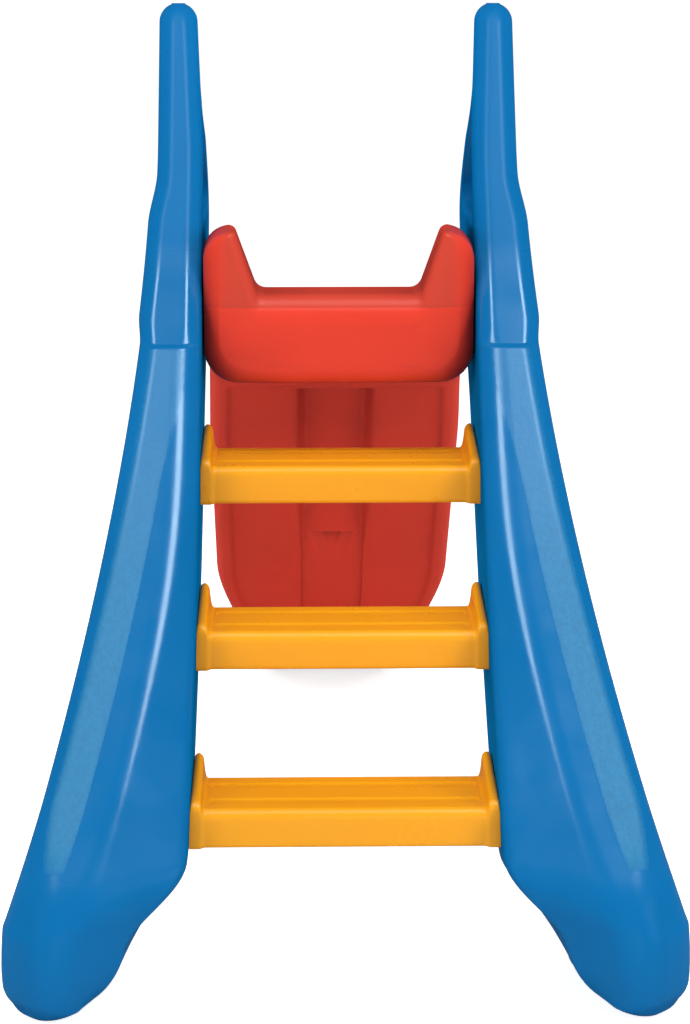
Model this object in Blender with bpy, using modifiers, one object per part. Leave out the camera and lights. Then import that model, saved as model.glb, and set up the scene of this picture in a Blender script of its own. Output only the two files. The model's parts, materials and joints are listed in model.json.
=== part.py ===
"""Kids slide: two hollow side rails with loop handles, three flanged steps and a chute in two halves.

Metres, +Z up. The ladder is at -Y, the chute runs out towards +Y, and X = 0 is the plane of symmetry.
The origin lies on the ground in the middle of the length.
"""
import math

import bmesh
import bpy
from mathutils import Matrix, Vector

# Overall
LENGTH = 1.70
HEIGHT = 1.186
WALL = 0.0038
GAP = 0.0003

# Rail in side view: the toe, how far the rail leans from upright at the foot and the tip, its depth
TOE_MIDDLE = 0.060
TOE_UNDERCUT = 0.050
TOE_RADIUS = 0.17
LEAN_FOOT = math.radians(41.0)
LEAN_TIP = math.radians(29.5)
FOOT_DEPTH = 0.215
HEEL_DEPTH = 0.300
LEG_DEPTH = 0.275
GUARD_DEPTH = 0.395
HANDLE_DEPTH = 0.054
HEEL_LEVEL = 0.06
LEG_LEVEL = 0.20
LEG_TOP = 0.61
GUARD_LEVEL = 0.865
HANDLE_LEVEL = 1.10

# Rail in rear view: inner faces that lean in as far as the platform, outer faces that flare to the toe
CLEAR_WIDTH = 0.3656
INNER_FLARE = 0.020
INNER_POWER = 2.5
INNER_TOP_LEVEL = 0.80
HANDLE_SPREAD_LEVEL = 1.00
HANDLE_SPREAD = 0.010
HANDLE_THICKNESS = 0.0612
SHOULDER = 0.0085
SHOULDER_LOW = 0.90
SHOULDER_HIGH = 0.965
SWELL = 0.006
SWELL_TOP = 0.79
FLARE = 0.2091
FLARE_TOP = 1.00
FLARE_POWER = 1.77
TOE_LEVEL = 0.11
SOLE_RADIUS = 0.040
TIP_RADIUS = 0.024

# How far the foot's inner side draws outwards near the ground: one lobe at the heel, one at the toe
HEEL_TUCK = 0.078
HEEL_LOBE_LOW = 0.018
HEEL_LOBE_HIGH = 0.128
HEEL_ROUND = 0.016
TOE_TUCK = 0.070
TOE_LOBE_LOW = 0.080
TOE_LOBE_HIGH = 0.180
TOE_ROUND = 0.085
TOE_ROUND_LEVEL = 0.100
TOE_EDGE_RADIUS = 0.110
TOE_MARGIN = 0.045
TOE_SWELL = 0.011
TOE_BLEND_LOW = 0.06
TOE_BLEND_HIGH = 0.26
TOE_CHAMFER = 0.020

# Rear band of a rail and the ledge where it ends
BAND_WIDTH = 0.077
BAND_MARGIN = 0.017
BAND_MIN_CHAMFER = 0.016
BAND_BLEND = 0.020
LEDGE_LEVEL = 0.7495
LEDGE_DEPTH = 0.006
EDGE_RADIUS = 0.014
FRONT_RADIUS = 0.030
FRONT_NARROWING = 0.38

# Loop handle
GRIP_BAR = 0.046
GRIP_BOTTOM = 0.897
GRIP_TOP = 1.045
GRIP_RADIUS = 0.020

# Steps
FIRST_TREAD = 0.2285
STEP_RISE = 0.186
STEP_SETBACK = 0.060
TREAD_DEPTH = 0.145
STEP_FACE = 0.049
STEP_NOSE = 0.012
STEP_SKIN = 0.004
FLANGE = 0.0135
FLANGE_PROUD = 0.0015
EAR_RISE = 0.035
EAR_REAR_SHARE = 0.26
GROOVE_WIDTH = 0.022
GROOVE_DEPTH = 0.0017
GROOVE_OFFSET = 0.031
GROOVE_FLAT = 0.4
RIB_COUNT = 3
RIB = 0.004
PEG_RADIUS = 0.006
PEG_LENGTH = 0.007
PEG_SPACING = 0.092

# Chute path
SEAT_LEVEL = 0.813
LIP_SETBACK = 0.0428
PLATFORM = 0.074
CREST_RADIUS = 0.30
RUNOUT_RADIUS = 0.28
RUNOUT = 0.033

# Chute section
SIDE_CLEARANCE = 0.0005
LIP_NARROWING = 0.002
RIM_WIDTH = 0.035
RIM_END_SHARE = 0.45
EAR_WIDTH = 0.042
EAR_OUTER_RADIUS = 0.040
EAR_INNER_RADIUS = 0.010
EAR_SLANT = 0.012
WALL_SPAN = 0.0675
EAR_HEIGHT = 0.086
SIDE_HEIGHT = 0.088
NOSE_HEIGHT = 0.026
LIP_DROP = 0.120
THICKNESS = 0.041
CHUTE_SWELL = 0.005
FLANK_DRAFT = 0.002
FLOOR_RADIUS = 0.030
LIP_CORNER = 0.045
BOTTOM_CORNER = 0.020
LIP_ROLL = 0.030
LIP_SIDE_ROUND = 0.016
EAR_FLOOR_RADIUS = 0.014
END_ROUND = 0.013
TAPER_START = 0.505
TAPER_LENGTH = 0.30
TAPER = 0.045
TONGUE_LENGTH = 0.17
TONGUE_POWER = 2.2
TONGUE_TIP_SHARE = 0.93

# Joint of the two chute halves
SEAM = 0.625
LAP = 0.045
LAP_FIT = 0.0005
LAP_SCREW_X = 0.105

# Underside of the chute, as distances along its path: a recessed panel, a channel that fades, a scoop
PANEL_START = 0.395
PANEL_END = 1.17
PANEL_FADE = 0.06
PANEL_RUN_IN = 0.008
PANEL_MARGIN = 0.0125
PANEL_WALL = 0.010
PANEL_DEPTH = 0.005
PANEL_CORNER = 0.020
CHANNEL_START = 0.408
CHANNEL_RUN_IN = 0.005
CHANNEL_MOUTH = 0.0648
CHANNEL_FLOOR = 0.0418
CHANNEL_DEPTH = 0.018
CHANNEL_FADE_START = 0.70
CHANNEL_FADE_END = 0.91
TAIL_MOUTH = 0.0535
TAIL_FLOOR = 0.0500
TAIL_DEPTH = 0.004
SCOOP_START = 0.838
SCOOP_LENGTH = 0.087
SCOOP_DEPTH = 0.012
SCOOP_HALF = 0.0375
BOWL_START = 0.846
BOWL_LENGTH = 0.055
BOWL_DEPTH = 0.017
BOWL_HALF = 0.019

# Bolts, nuts and caps
BOLT_RADIUS = 0.004
BOLT_CLEARANCE = 0.0005
HEAD_RADIUS = 0.010
HEAD_HEIGHT = 0.0055
SOCKET_RADIUS = 0.0028
SEAT_THICKNESS = 0.022
POCKET_RADIUS = 0.0150
POCKET_FLARE = 0.0015
CAP_THICKNESS = 0.005
CAP_RECESS = 0.003
NUT_FLATS = 0.013
NUT_HEIGHT = 0.0065
BOLT_STICK_OUT = 0.003
INSERT_RADIUS = 0.007
INSERT_LENGTH = 0.018
INSERT_DROP = 0.020
INSERT_STATIONS = (0.100, 0.235)
LAP_SCREW_RADIUS = 0.0024
LAP_SCREW_HEAD = 0.0065
LAP_SCREW_LENGTH = 0.016
DRAIN_RADIUS = 0.006
OVERCUT = 0.02

# Facets
CORNER_STEPS = 3
CHUTE_STEPS = 2
CORE_STEPS = 1
ROUND_STEPS = 12
CAP_STEPS = 16
BOLT_STEPS = 8

BLUE = ("blue_plastic", (0.006, 0.152, 0.462), 0.32)
RED = ("red_plastic", (0.70, 0.045, 0.022), 0.34)
YELLOW = ("yellow_plastic", (0.89, 0.35, 0.018), 0.36)
CAP_BLUE = ("cap_plastic", (0.005, 0.125, 0.400), 0.38)
STEEL = ("zinc_plated_steel", (0.56, 0.57, 0.58), 0.30)
BRASS = ("brass", (0.72, 0.50, 0.20), 0.32)


def clear_scene():
    for old in list(bpy.data.objects):
        bpy.data.objects.remove(old, do_unlink=True)


def new_collection(name):
    collection = bpy.data.collections.new(name)
    bpy.context.scene.collection.children.link(collection)
    return collection


def make_material(spec, metallic=0.0):
    name, colour, roughness = spec
    material = bpy.data.materials.new(name)
    material.use_nodes = True
    shader = material.node_tree.nodes["Principled BSDF"]
    shader.inputs["Base Color"].default_value = (*colour, 1.0)
    shader.inputs["Roughness"].default_value = roughness
    shader.inputs["Metallic"].default_value = metallic
    return material


def smooth(value):
    """Smooth step from 0 to 1."""
    value = min(max(value, 0.0), 1.0)
    return value * value * (3.0 - 2.0 * value)


def ramp(value, low, high):
    return smooth((value - low) / (high - low))


def spread(low, high, count):
    """Evenly spaced levels after low, up to and including high."""
    return [low + (high - low) * step / count for step in range(1, count + 1)]


def rounded(corners, steps):
    """Closed outline with an arc at each corner, or one point where the radius is 0: (x, y, radius)."""
    points = []
    count = len(corners)
    for index, (x, y, radius) in enumerate(corners):
        corner = Vector((x, y))
        if radius == 0.0:
            points.append(corner)
            continue
        previous = corners[index - 1]
        following = corners[(index + 1) % count]
        before = Vector(previous[:2]) - corner
        after = Vector(following[:2]) - corner
        half_angle = before.angle(after) / 2
        room = 0.96 * radius * min(before.length / (radius + previous[2]), after.length / (radius + following[2]))
        reach = min(radius / math.tan(half_angle), room)
        fitted = reach * math.tan(half_angle)
        inward = (before.normalized() + after.normalized()).normalized()
        centre = corner + inward * (fitted / math.sin(half_angle))
        start = corner + before.normalized() * reach - centre
        turn = math.pi - 2 * half_angle
        sign = 1.0 if before.cross(after) < 0 else -1.0
        for step in range(steps + 1):
            swing = Matrix.Rotation(sign * turn * step / steps, 2)
            points.append(centre + swing @ start)
    return points


def finish_mesh(name, bm, collection, material, auto_angle=math.radians(32)):
    bmesh.ops.recalc_face_normals(bm, faces=bm.faces)
    mesh = bpy.data.meshes.new(name)
    bm.to_mesh(mesh)
    bm.free()
    mesh.shade_smooth()
    mesh.set_sharp_from_angle(angle=auto_angle)
    piece = bpy.data.objects.new(name, mesh)
    collection.objects.link(piece)
    if material:
        mesh.materials.append(material)
    return piece


def loft(name, rings, collection, material=None):
    """Closed solid through rings of equal point counts, with flat ends."""
    bm = bmesh.new()
    layers = [[bm.verts.new(point) for point in ring] for ring in rings]
    count = len(rings[0])
    for lower, upper in zip(layers, layers[1:]):
        for index in range(count):
            following = (index + 1) % count
            bm.faces.new((lower[index], lower[following], upper[following], upper[index]))
    bm.faces.new(layers[0])
    bm.faces.new(layers[-1])
    return finish_mesh(name, bm, collection, material)


def joined_tool(name, bodies, tools):
    """One cutter from several closed bodies, each a list of rings."""
    bm = bmesh.new()
    for rings in bodies:
        layers = [[bm.verts.new(point) for point in ring] for ring in rings]
        count = len(rings[0])
        for lower, upper in zip(layers, layers[1:]):
            for index in range(count):
                following = (index + 1) % count
                bm.faces.new((lower[index], lower[following], upper[following], upper[index]))
        bm.faces.new(layers[0])
        bm.faces.new(layers[-1])
    return hide_tool(finish_mesh(name, bm, tools, None))


def hide_tool(tool):
    tool.hide_render = True
    tool.display_type = "WIRE"
    return tool


def combine(piece, tool, operation):
    modifier = piece.modifiers.new(tool.name, "BOOLEAN")
    modifier.operation = operation
    modifier.solver = "EXACT"
    modifier.object = tool


def hole_rings(centre, axis, spans):
    """Cutter whose flats, not its corners, lie at the given radii."""
    clear = [(distance, radius / math.cos(math.pi / ROUND_STEPS)) for distance, radius in spans]
    return circle_rings(centre, axis, clear, ROUND_STEPS)


def circle_rings(centre, axis, spans, steps):
    """Rings of a turned body: spans are (distance along the axis, radius)."""
    axis = Vector(axis).normalized()
    side = axis.orthogonal().normalized()
    other = axis.cross(side)
    rings = []
    for distance, radius in spans:
        ring = []
        for step in range(steps):
            angle = 2 * math.pi * (step + 0.5) / steps
            around = side * math.cos(angle) + other * math.sin(angle)
            ring.append(Vector(centre) + axis * distance + around * radius)
        rings.append(ring)
    return rings


def turned(name, profile, steps, location, axis, collection, material):
    """Revolved piece: profile is (radius, height), from the top of the axis down its outer side."""
    mesh = bpy.data.meshes.new(name)
    points = [(radius, 0.0, height) for radius, height in profile]
    edges = [(index, index + 1) for index in range(len(points) - 1)]
    mesh.from_pydata(points, edges, [])
    piece = bpy.data.objects.new(name, mesh)
    collection.objects.link(piece)
    mesh.materials.append(material)
    screw = piece.modifiers.new("turn", "SCREW")
    screw.steps = steps
    screw.render_steps = steps
    screw.use_merge_vertices = True
    screw.merge_threshold = 0.00001
    screw.use_normal_calculate = False
    piece.location = location
    piece.rotation_euler = Vector(axis).to_track_quat("Z", "Y").to_euler()
    return piece


# Rail outline


def rear_y(z):
    """Rear edge of the rails: a rounded toe, then a line that stands up as it climbs."""
    start_z = TOE_MIDDLE + TOE_RADIUS * math.sin(LEAN_FOOT)
    start_y = -LENGTH / 2 + TOE_RADIUS * (1 - math.cos(LEAN_FOOT))
    if z < TOE_MIDDLE:
        return -LENGTH / 2 + TOE_UNDERCUT * (1 - math.sqrt(1 - (1 - z / TOE_MIDDLE) ** 2))
    if z < start_z:
        return -LENGTH / 2 + TOE_RADIUS - math.sqrt(TOE_RADIUS ** 2 - (z - TOE_MIDDLE) ** 2)
    slope = math.tan(LEAN_FOOT)
    bend = (slope - math.tan(LEAN_TIP)) / (2 * (HEIGHT - start_z))
    climb = z - start_z
    return start_y + slope * climb - bend * climb ** 2


def rail_depth(z):
    """Depth of a rail along Y: foot, leg, side guard beside the platform, handle."""
    depth = FOOT_DEPTH + (HEEL_DEPTH - FOOT_DEPTH) * ramp(z, 0.0, HEEL_LEVEL)
    depth += (LEG_DEPTH - HEEL_DEPTH) * ramp(z, HEEL_LEVEL, LEG_LEVEL)
    depth += (GUARD_DEPTH - LEG_DEPTH) * ramp(z, LEG_TOP, GUARD_LEVEL)
    depth += (HANDLE_DEPTH - GUARD_DEPTH) * ramp(z, GUARD_LEVEL, HANDLE_LEVEL)
    return depth


def inner_face(z):
    """Distance of a rail's flat inner face from the middle plane."""
    flare = INNER_FLARE * (1 - min(z, INNER_TOP_LEVEL) / INNER_TOP_LEVEL) ** INNER_POWER
    spread_out = HANDLE_SPREAD * max(z - HANDLE_SPREAD_LEVEL, 0.0) / (HEIGHT - HANDLE_SPREAD_LEVEL)
    return CLEAR_WIDTH / 2 + flare + spread_out


def outer_face(z):
    """Distance of a rail's outer face from the middle plane: handle, shoulder, flare, sole."""
    flare_level = min(max(z, TOE_LEVEL), FLARE_TOP)
    flare = FLARE * (1 - flare_level / FLARE_TOP) ** FLARE_POWER
    shoulder = SHOULDER * (1 - ramp(z, SHOULDER_LOW, SHOULDER_HIGH))
    shoulder -= SWELL * (1 - ramp(z, LEDGE_LEVEL, SWELL_TOP))
    below = max(SOLE_RADIUS - z, 0.0)
    sole = SOLE_RADIUS - math.sqrt(SOLE_RADIUS ** 2 - below ** 2)
    swell = TOE_SWELL * (1 - ramp(z, TOE_BLEND_LOW, TOE_BLEND_HIGH))
    return CLEAR_WIDTH / 2 + HANDLE_THICKNESS + shoulder + flare + swell - sole


def tip_inset(z):
    """How far the section draws in at the rounded tip of the handle."""
    above = min(max(z - (HEIGHT - TIP_RADIUS), 0.0), 0.95 * TIP_RADIUS)
    return TIP_RADIUS - math.sqrt(TIP_RADIUS ** 2 - above ** 2)


def round_off(z, reach, level):
    """Elliptic round from 0 at the given level to the full reach just above the ground."""
    below = max(1 - z / level, 0.0)
    return reach * (1 - math.sqrt(1 - 0.97 * below ** 2))


def heel_tuck(z):
    """How far the front of the foot draws outwards: an S curve down to a rounded sole."""
    return HEEL_TUCK * (1 - ramp(z, HEEL_LOBE_LOW, HEEL_LOBE_HIGH)) + round_off(z, HEEL_ROUND, HEEL_ROUND)


def toe_tuck(z):
    """How far the toe draws outwards: an S curve below the leg, then its own rounded sole."""
    return TOE_TUCK * (1 - ramp(z, TOE_LOBE_LOW, TOE_LOBE_HIGH)) + round_off(z, TOE_ROUND, TOE_ROUND_LEVEL)


def rail_ring(z, side, inset, steps):
    """Level section of a rail, drawn in by inset."""
    draw_in = inset + tip_inset(z)
    inner = inner_face(z)
    outer = outer_face(z)
    thickness = outer - inner
    spare = thickness - BAND_WIDTH - BAND_MARGIN - BAND_MIN_CHAMFER
    chamfer = BAND_MIN_CHAMFER + (spare + math.sqrt(spare ** 2 + BAND_BLEND ** 2)) / 2
    chamfer = min(chamfer, 0.62 * thickness)
    chamfer_depth = 0.25 * chamfer + 0.012
    front_thickness = thickness * (1 - FRONT_NARROWING * ramp(thickness, 0.06, 0.20))
    ledge = LEDGE_DEPTH * ramp(z, LEDGE_LEVEL, LEDGE_LEVEL + LEDGE_DEPTH)
    rear = rear_y(z)
    front = rear + rail_depth(z)
    toe = 1 - ramp(z, 0.0, TOE_LOBE_HIGH)
    soft = 1 - ramp(z, TOE_BLEND_LOW, TOE_BLEND_HIGH)
    edge = max(EDGE_RADIUS + (TOE_EDGE_RADIUS - EDGE_RADIUS) * soft - inset, 0.004)
    nose = max(FRONT_RADIUS - inset, 0.004)
    flank = inner + toe_tuck(z)
    ridge = min(max(inner + chamfer, flank + TOE_CHAMFER * toe), outer - 1.3 * BAND_MARGIN)
    spare_width = max(outer - ridge - 1.3 * BAND_MARGIN, 0.0)
    margin = BAND_MARGIN + min(TOE_MARGIN * soft, 0.5 * spare_width)
    corners = (
        (inner + heel_tuck(z) + draw_in, front - draw_in, nose),
        (flank + draw_in, rear + chamfer_depth + draw_in, EDGE_RADIUS),
        (ridge, rear + ledge + draw_in, edge),
        (outer - margin, rear + ledge + draw_in, edge),
        (outer - draw_in, rear + margin + draw_in, edge),
        (max(inner + front_thickness, inner + heel_tuck(z) + 0.04) - draw_in, front - draw_in, nose),
    )
    return [Vector((side * point.x, point.y, z)) for point in rounded(corners, steps)]


def foot_middle():
    """Middle of the flat sole, across the slide."""
    return (inner_face(0.0) + heel_tuck(0.0) + outer_face(0.0)) / 2 + HEEL_ROUND


def rail_levels():
    """Heights of the sections: close together where the outline turns."""
    levels = [TOE_MIDDLE * share for share in (0.0, 0.04, 0.14, 0.32, 0.60, 1.0)]
    levels += spread(TOE_MIDDLE, TOE_LOBE_HIGH, 5)
    levels += [LEG_LEVEL]
    levels += spread(LEG_LEVEL, LEG_TOP, 5)
    levels += spread(LEG_TOP, LEDGE_LEVEL, 2)
    levels += [LEDGE_LEVEL + LEDGE_DEPTH / 2, LEDGE_LEVEL + LEDGE_DEPTH]
    levels += spread(LEDGE_LEVEL + LEDGE_DEPTH, GUARD_LEVEL, 3)
    levels += spread(GUARD_LEVEL, HANDLE_LEVEL, 8)
    levels += spread(HANDLE_LEVEL, HEIGHT - TIP_RADIUS, 1)
    levels += [HEIGHT - TIP_RADIUS * share for share in (0.62, 0.33, 0.13, 0.0)]
    return levels


def grip_rings(side, grow):
    """Prism through the handle that opens the loop: a triangle with round corners."""
    rear_low = rear_y(GRIP_BOTTOM) + GRIP_BAR - grow
    front_low = rear_y(GRIP_BOTTOM) + rail_depth(GRIP_BOTTOM) - GRIP_BAR + grow
    rear_high = rear_y(GRIP_TOP) + GRIP_BAR - grow
    front_high = rear_high + GRIP_RADIUS + 2 * grow
    corners = (
        (rear_low, GRIP_BOTTOM - grow, GRIP_RADIUS + grow),
        (front_low, GRIP_BOTTOM - grow, GRIP_RADIUS + grow),
        (front_high, GRIP_TOP + grow, GRIP_RADIUS / 2 + grow),
        (rear_high, GRIP_TOP + grow, GRIP_RADIUS / 2 + grow),
    )
    outline = rounded(corners, CORNER_STEPS)
    near = inner_face(GRIP_BOTTOM) - OVERCUT
    far = outer_face(GRIP_BOTTOM) + OVERCUT
    return [[Vector((side * x, point.x, point.y)) for point in outline] for x in (near, far)]


# Chute path and section


def lip_y():
    return rear_y(LEDGE_LEVEL) + LIP_SETBACK


def slope_angle():
    """Angle of the straight between the crest arc and the run-out arc."""
    across = LENGTH / 2 - lip_y() - PLATFORM - RUNOUT
    drop = SEAT_LEVEL - THICKNESS
    bends = CREST_RADIUS + RUNOUT_RADIUS
    return math.atan2(drop - bends, across) + math.asin(bends / math.hypot(across, drop - bends))


def slope_length():
    across = LENGTH / 2 - lip_y() - PLATFORM - RUNOUT
    drop = SEAT_LEVEL - THICKNESS
    bends = CREST_RADIUS + RUNOUT_RADIUS
    return math.sqrt(across ** 2 + drop ** 2 - 2 * drop * bends)


def slope_start():
    return PLATFORM + CREST_RADIUS * slope_angle()


def path_length():
    return slope_start() + slope_length() + RUNOUT_RADIUS * slope_angle() + RUNOUT


def path_point(s):
    """Middle of the sliding surface at distance s from the lip: (y, z, slope angle)."""
    full = slope_angle()
    y, z = lip_y(), SEAT_LEVEL
    flat = min(s, PLATFORM)
    y += flat
    turn = min(max(s - PLATFORM, 0.0) / CREST_RADIUS, full)
    y += CREST_RADIUS * math.sin(turn)
    z -= CREST_RADIUS * (1 - math.cos(turn))
    straight = min(max(s - slope_start(), 0.0), slope_length())
    y += straight * math.cos(full)
    z -= straight * math.sin(full)
    back = min(max(s - slope_start() - slope_length(), 0.0) / RUNOUT_RADIUS, full)
    y += RUNOUT_RADIUS * (math.sin(full) - math.sin(full - back))
    z -= RUNOUT_RADIUS * (math.cos(full - back) - math.cos(full))
    y += max(s - path_length() + RUNOUT, 0.0)
    return y, z, turn - back


def on_chute(s, x, n):
    """World point at distance s along the path, x across, n above the sliding surface."""
    y, z, angle = path_point(s)
    return Vector((x, y + n * math.sin(angle), z + n * math.cos(angle)))


def chute_normal(s):
    angle = path_point(s)[2]
    return Vector((0.0, math.sin(angle), math.cos(angle)))


def taper_start():
    return path_length() - TAPER_START


def chute_half_width(s):
    """Outer half width: as wide as the rails allow, wider past them, then a tapered round tongue."""
    width = inner_face(SEAT_LEVEL) - SIDE_CLEARANCE - LIP_NARROWING * (1 - ramp(s, 0.0, PLATFORM))
    width += CHUTE_SWELL * ramp(s, slope_start() + LAP, SEAM - 1.5 * LAP)
    width -= TAPER * ramp(s, taper_start(), taper_start() + TAPER_LENGTH)
    into_tongue = max(s - (path_length() - TONGUE_LENGTH), 0.0) / TONGUE_LENGTH * min(TONGUE_TIP_SHARE, 0.97)
    return width * (1 - into_tongue ** TONGUE_POWER) ** (1 / TONGUE_POWER)


def chute_drop(s):
    """Thickness below the sliding surface: a deep lip, then the plain double wall."""
    return LIP_DROP + (THICKNESS - LIP_DROP) * ramp(s, PLATFORM, slope_start())


def side_height(s):
    height = EAR_HEIGHT + (SIDE_HEIGHT - EAR_HEIGHT) * ramp(s, 0.0, slope_start())
    return height + (NOSE_HEIGHT - SIDE_HEIGHT) * ramp(s, taper_start(), path_length())


def panel_edge(s):
    """Half width of the recessed panel at its outer edge, with round corners at its upper end."""
    into_corner = min(max(PANEL_START + PANEL_CORNER - s, 0.0) / PANEL_CORNER, 1.0)
    corner = PANEL_CORNER * (1 - math.sqrt(1 - into_corner ** 2))
    return chute_half_width(s) - FLANK_DRAFT - PANEL_MARGIN - corner


def fade_share(s):
    return ramp(s, CHANNEL_FADE_START, CHANNEL_FADE_END)


def channel_mouth(s):
    return CHANNEL_MOUTH + (TAIL_MOUTH - CHANNEL_MOUTH) * fade_share(s)


def channel_floor(s):
    return CHANNEL_FLOOR + (TAIL_FLOOR - CHANNEL_FLOOR) * fade_share(s)


def scoop_depth(s, x, start, length, depth, half):
    """Depth of a tilted round scoop: deepest at its upper end, running out to nothing."""
    if not start <= s <= start + length:
        return 0.0
    radius = (half ** 2 + depth ** 2) / (2 * depth)
    middle = depth * (1 - (s - start) / length)
    return max(middle - radius + math.sqrt(max(radius ** 2 - x ** 2, 0.0)), 0.0)


def underside_marks(s, grow):
    """Distances from the middle at which the underside's section bends, from the outside inwards."""
    share = 1 - 0.6 * min(max(s - SCOOP_START, 0.0) / SCOOP_LENGTH, 1.0)
    scoop = share * (SCOOP_HALF + grow)
    mouth = channel_mouth(s) + 0.33 * grow
    edge = max(panel_edge(s) + 0.2 * grow, mouth + 3 * PANEL_WALL)
    floor = min(channel_floor(s), mouth - 0.003) + 0.33 * grow
    return [edge, edge - PANEL_WALL, mouth, floor, 0.85 * scoop, 0.5 * scoop, 0.2 * scoop]


def underside(s, x, grow):
    """How far the underside is pressed in at station s, x from the middle, for a wall grown inwards."""
    ahead = s + grow
    marks = underside_marks(s, grow)
    left = 1 - ramp(ahead, PANEL_END - PANEL_FADE, PANEL_END)
    panel = PANEL_DEPTH * ramp(ahead, PANEL_START, PANEL_START + PANEL_RUN_IN) * left
    channel = CHANNEL_DEPTH + (TAIL_DEPTH - CHANNEL_DEPTH) * fade_share(ahead)
    channel *= ramp(ahead, CHANNEL_START, CHANNEL_START + CHANNEL_RUN_IN) * left
    depth = panel * ramp(marks[0] - x, 0.0, marks[0] - marks[1])
    depth += channel * ramp(marks[2] - x, 0.0, marks[2] - marks[3])
    near = max(x - grow, 0.0)
    scoop = scoop_depth(ahead, near, SCOOP_START, SCOOP_LENGTH, SCOOP_DEPTH, SCOOP_HALF)
    bowl = scoop_depth(ahead, near, BOWL_START, BOWL_LENGTH, BOWL_DEPTH, BOWL_HALF)
    return depth + max(scoop, bowl)


def underside_stations(grow):
    """Stations where the underside changes, for a wall grown inwards."""
    stations = [PANEL_START, PANEL_START + PANEL_RUN_IN, CHANNEL_START, CHANNEL_START + CHANNEL_RUN_IN]
    stations += [PANEL_START + PANEL_CORNER]
    stations += [CHANNEL_FADE_START] + spread(CHANNEL_FADE_START, SCOOP_START - 0.006, 2)
    stations += [SCOOP_START - 0.001, SCOOP_START, BOWL_START - 0.001, BOWL_START]
    stations += [(BOWL_START + CHANNEL_FADE_END) / 2, CHANNEL_FADE_END, SCOOP_START + SCOOP_LENGTH]
    stations += [PANEL_END - PANEL_FADE, PANEL_END - PANEL_FADE / 2, PANEL_END]
    return [station - grow for station in stations]


def chute_ring(s, inset, steps, divisions=1):
    """Section of the chute square to its path, drawn in by inset."""
    width = chute_half_width(s)
    shrink = min(width / chute_half_width(path_length() - TONGUE_LENGTH), 1.0)
    ear = 1 - ramp(s, 0.5 * PLATFORM, slope_start())
    to_side = max(LIP_SIDE_ROUND - s, 0.0) / LIP_SIDE_ROUND
    side = LIP_SIDE_ROUND * (1 - math.sqrt(1 - (0.95 * to_side) ** 2))
    rim = (RIM_WIDTH + (EAR_WIDTH - RIM_WIDTH) * ear) * (RIM_END_SHARE + (1 - RIM_END_SHARE) * shrink)
    span = rim + (WALL_SPAN - RIM_WIDTH) * shrink * side_height(s) / SIDE_HEIGHT
    height = side_height(s) - inset
    draft = FLANK_DRAFT * ramp(s, PLATFORM, slope_start())
    roll = max(LIP_ROLL - s, 0.0)
    rolled = LIP_ROLL - math.sqrt(LIP_ROLL ** 2 - roll ** 2)
    floor = -rolled - inset
    bottom = -chute_drop(s) + 0.5 * rolled + inset
    corner = BOTTOM_CORNER + (LIP_CORNER - BOTTOM_CORNER) * (1 - ramp(s, 0.0, slope_start()))
    rim_round = 0.48 * rim
    inner_round = rim_round + (EAR_INNER_RADIUS - rim_round) * ear
    floor_round = FLOOR_RADIUS + (EAR_FLOOR_RADIUS - FLOOR_RADIUS) * ear
    outer_round = rim_round + (EAR_OUTER_RADIUS - rim_round) * ear
    right = (
        (width - span + 0.6 * inset, floor, floor_round * shrink + inset),
        (width - rim + inset, height, max(inner_round - inset, 0.002)),
        (width - side - inset, height - EAR_SLANT * ear, max(outer_round - inset, 0.002)),
        (width - side - draft - inset, bottom, max(corner - inset, 0.004)),
    )
    left = [(-x, n, radius) for x, n, radius in reversed(right)]
    outline = rounded(list(right) + left, steps)
    flat = width - side - draft - 1.1 * corner
    marks = underside_marks(s, inset)
    fit = min(flat / marks[0], 1.0)
    places = [marks[0]]
    for near, far in zip(marks, marks[1:] + [0.0]):
        places += spread(near, far, divisions)
    places = places[:-1] if divisions == 1 else places
    half = [(fit * x, bottom + underside(s, x, inset)) for x in places]
    mirrored = [(-x, n) for x, n in reversed(half) if x > 0.0]
    pressed = [Vector(point) for point in half + mirrored]
    turn = len(outline) // 2
    section = outline[:turn] + pressed + outline[turn:]
    return [on_chute(s, point.x, point.y) for point in section]


def slope_stations(start, end, count, grow=0.0):
    """Stations between start and end, closer together on the two arcs."""
    bends = [PLATFORM, slope_start(), slope_start() + LAP, SEAM - 1.5 * LAP, taper_start()]
    bends += [slope_start() + slope_length(), path_length() - TONGUE_LENGTH, path_length() - RUNOUT]
    bends += underside_stations(grow)
    marks = [start]
    for mark in sorted(bends):
        if marks[-1] + 0.0006 < mark < end - 0.0006:
            marks.append(mark)
    marks.append(end)
    stations = [start]
    for low, high in zip(marks, marks[1:]):
        middle = (low + high) / 2
        straight = slope_start() < middle < slope_start() + slope_length() and middle < taper_start()
        pieces = 1 if straight else max(1, round(count * (high - low)))
        stations += spread(low, high, pieces)
    return stations


# Pieces


def tread_z(number):
    return FIRST_TREAD + STEP_RISE * number


def step_rear(number):
    return rear_y(tread_z(number)) + STEP_SETBACK


def step_end(z):
    """Distance of a step's end face from the middle plane."""
    return inner_face(z) - GAP


def step_bolt_place(number):
    return step_rear(number) + TREAD_DEPTH / 2, tread_z(number) - STEP_FACE / 2


def chute_bolt_place(station):
    point = on_chute(station, 0.0, -INSERT_DROP)
    return point.y, point.z


def bolt_places():
    """Every bolt on one rail: (label, y, z, what it goes into)."""
    places = []
    for number, label in enumerate(("bottom", "middle", "top")):
        y, z = step_bolt_place(number)
        places.append((label, y, z, "step"))
    for station, label in zip(INSERT_STATIONS, ("rear", "front")):
        y, z = chute_bolt_place(station)
        places.append((label, y, z, "chute"))
    return places


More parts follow.
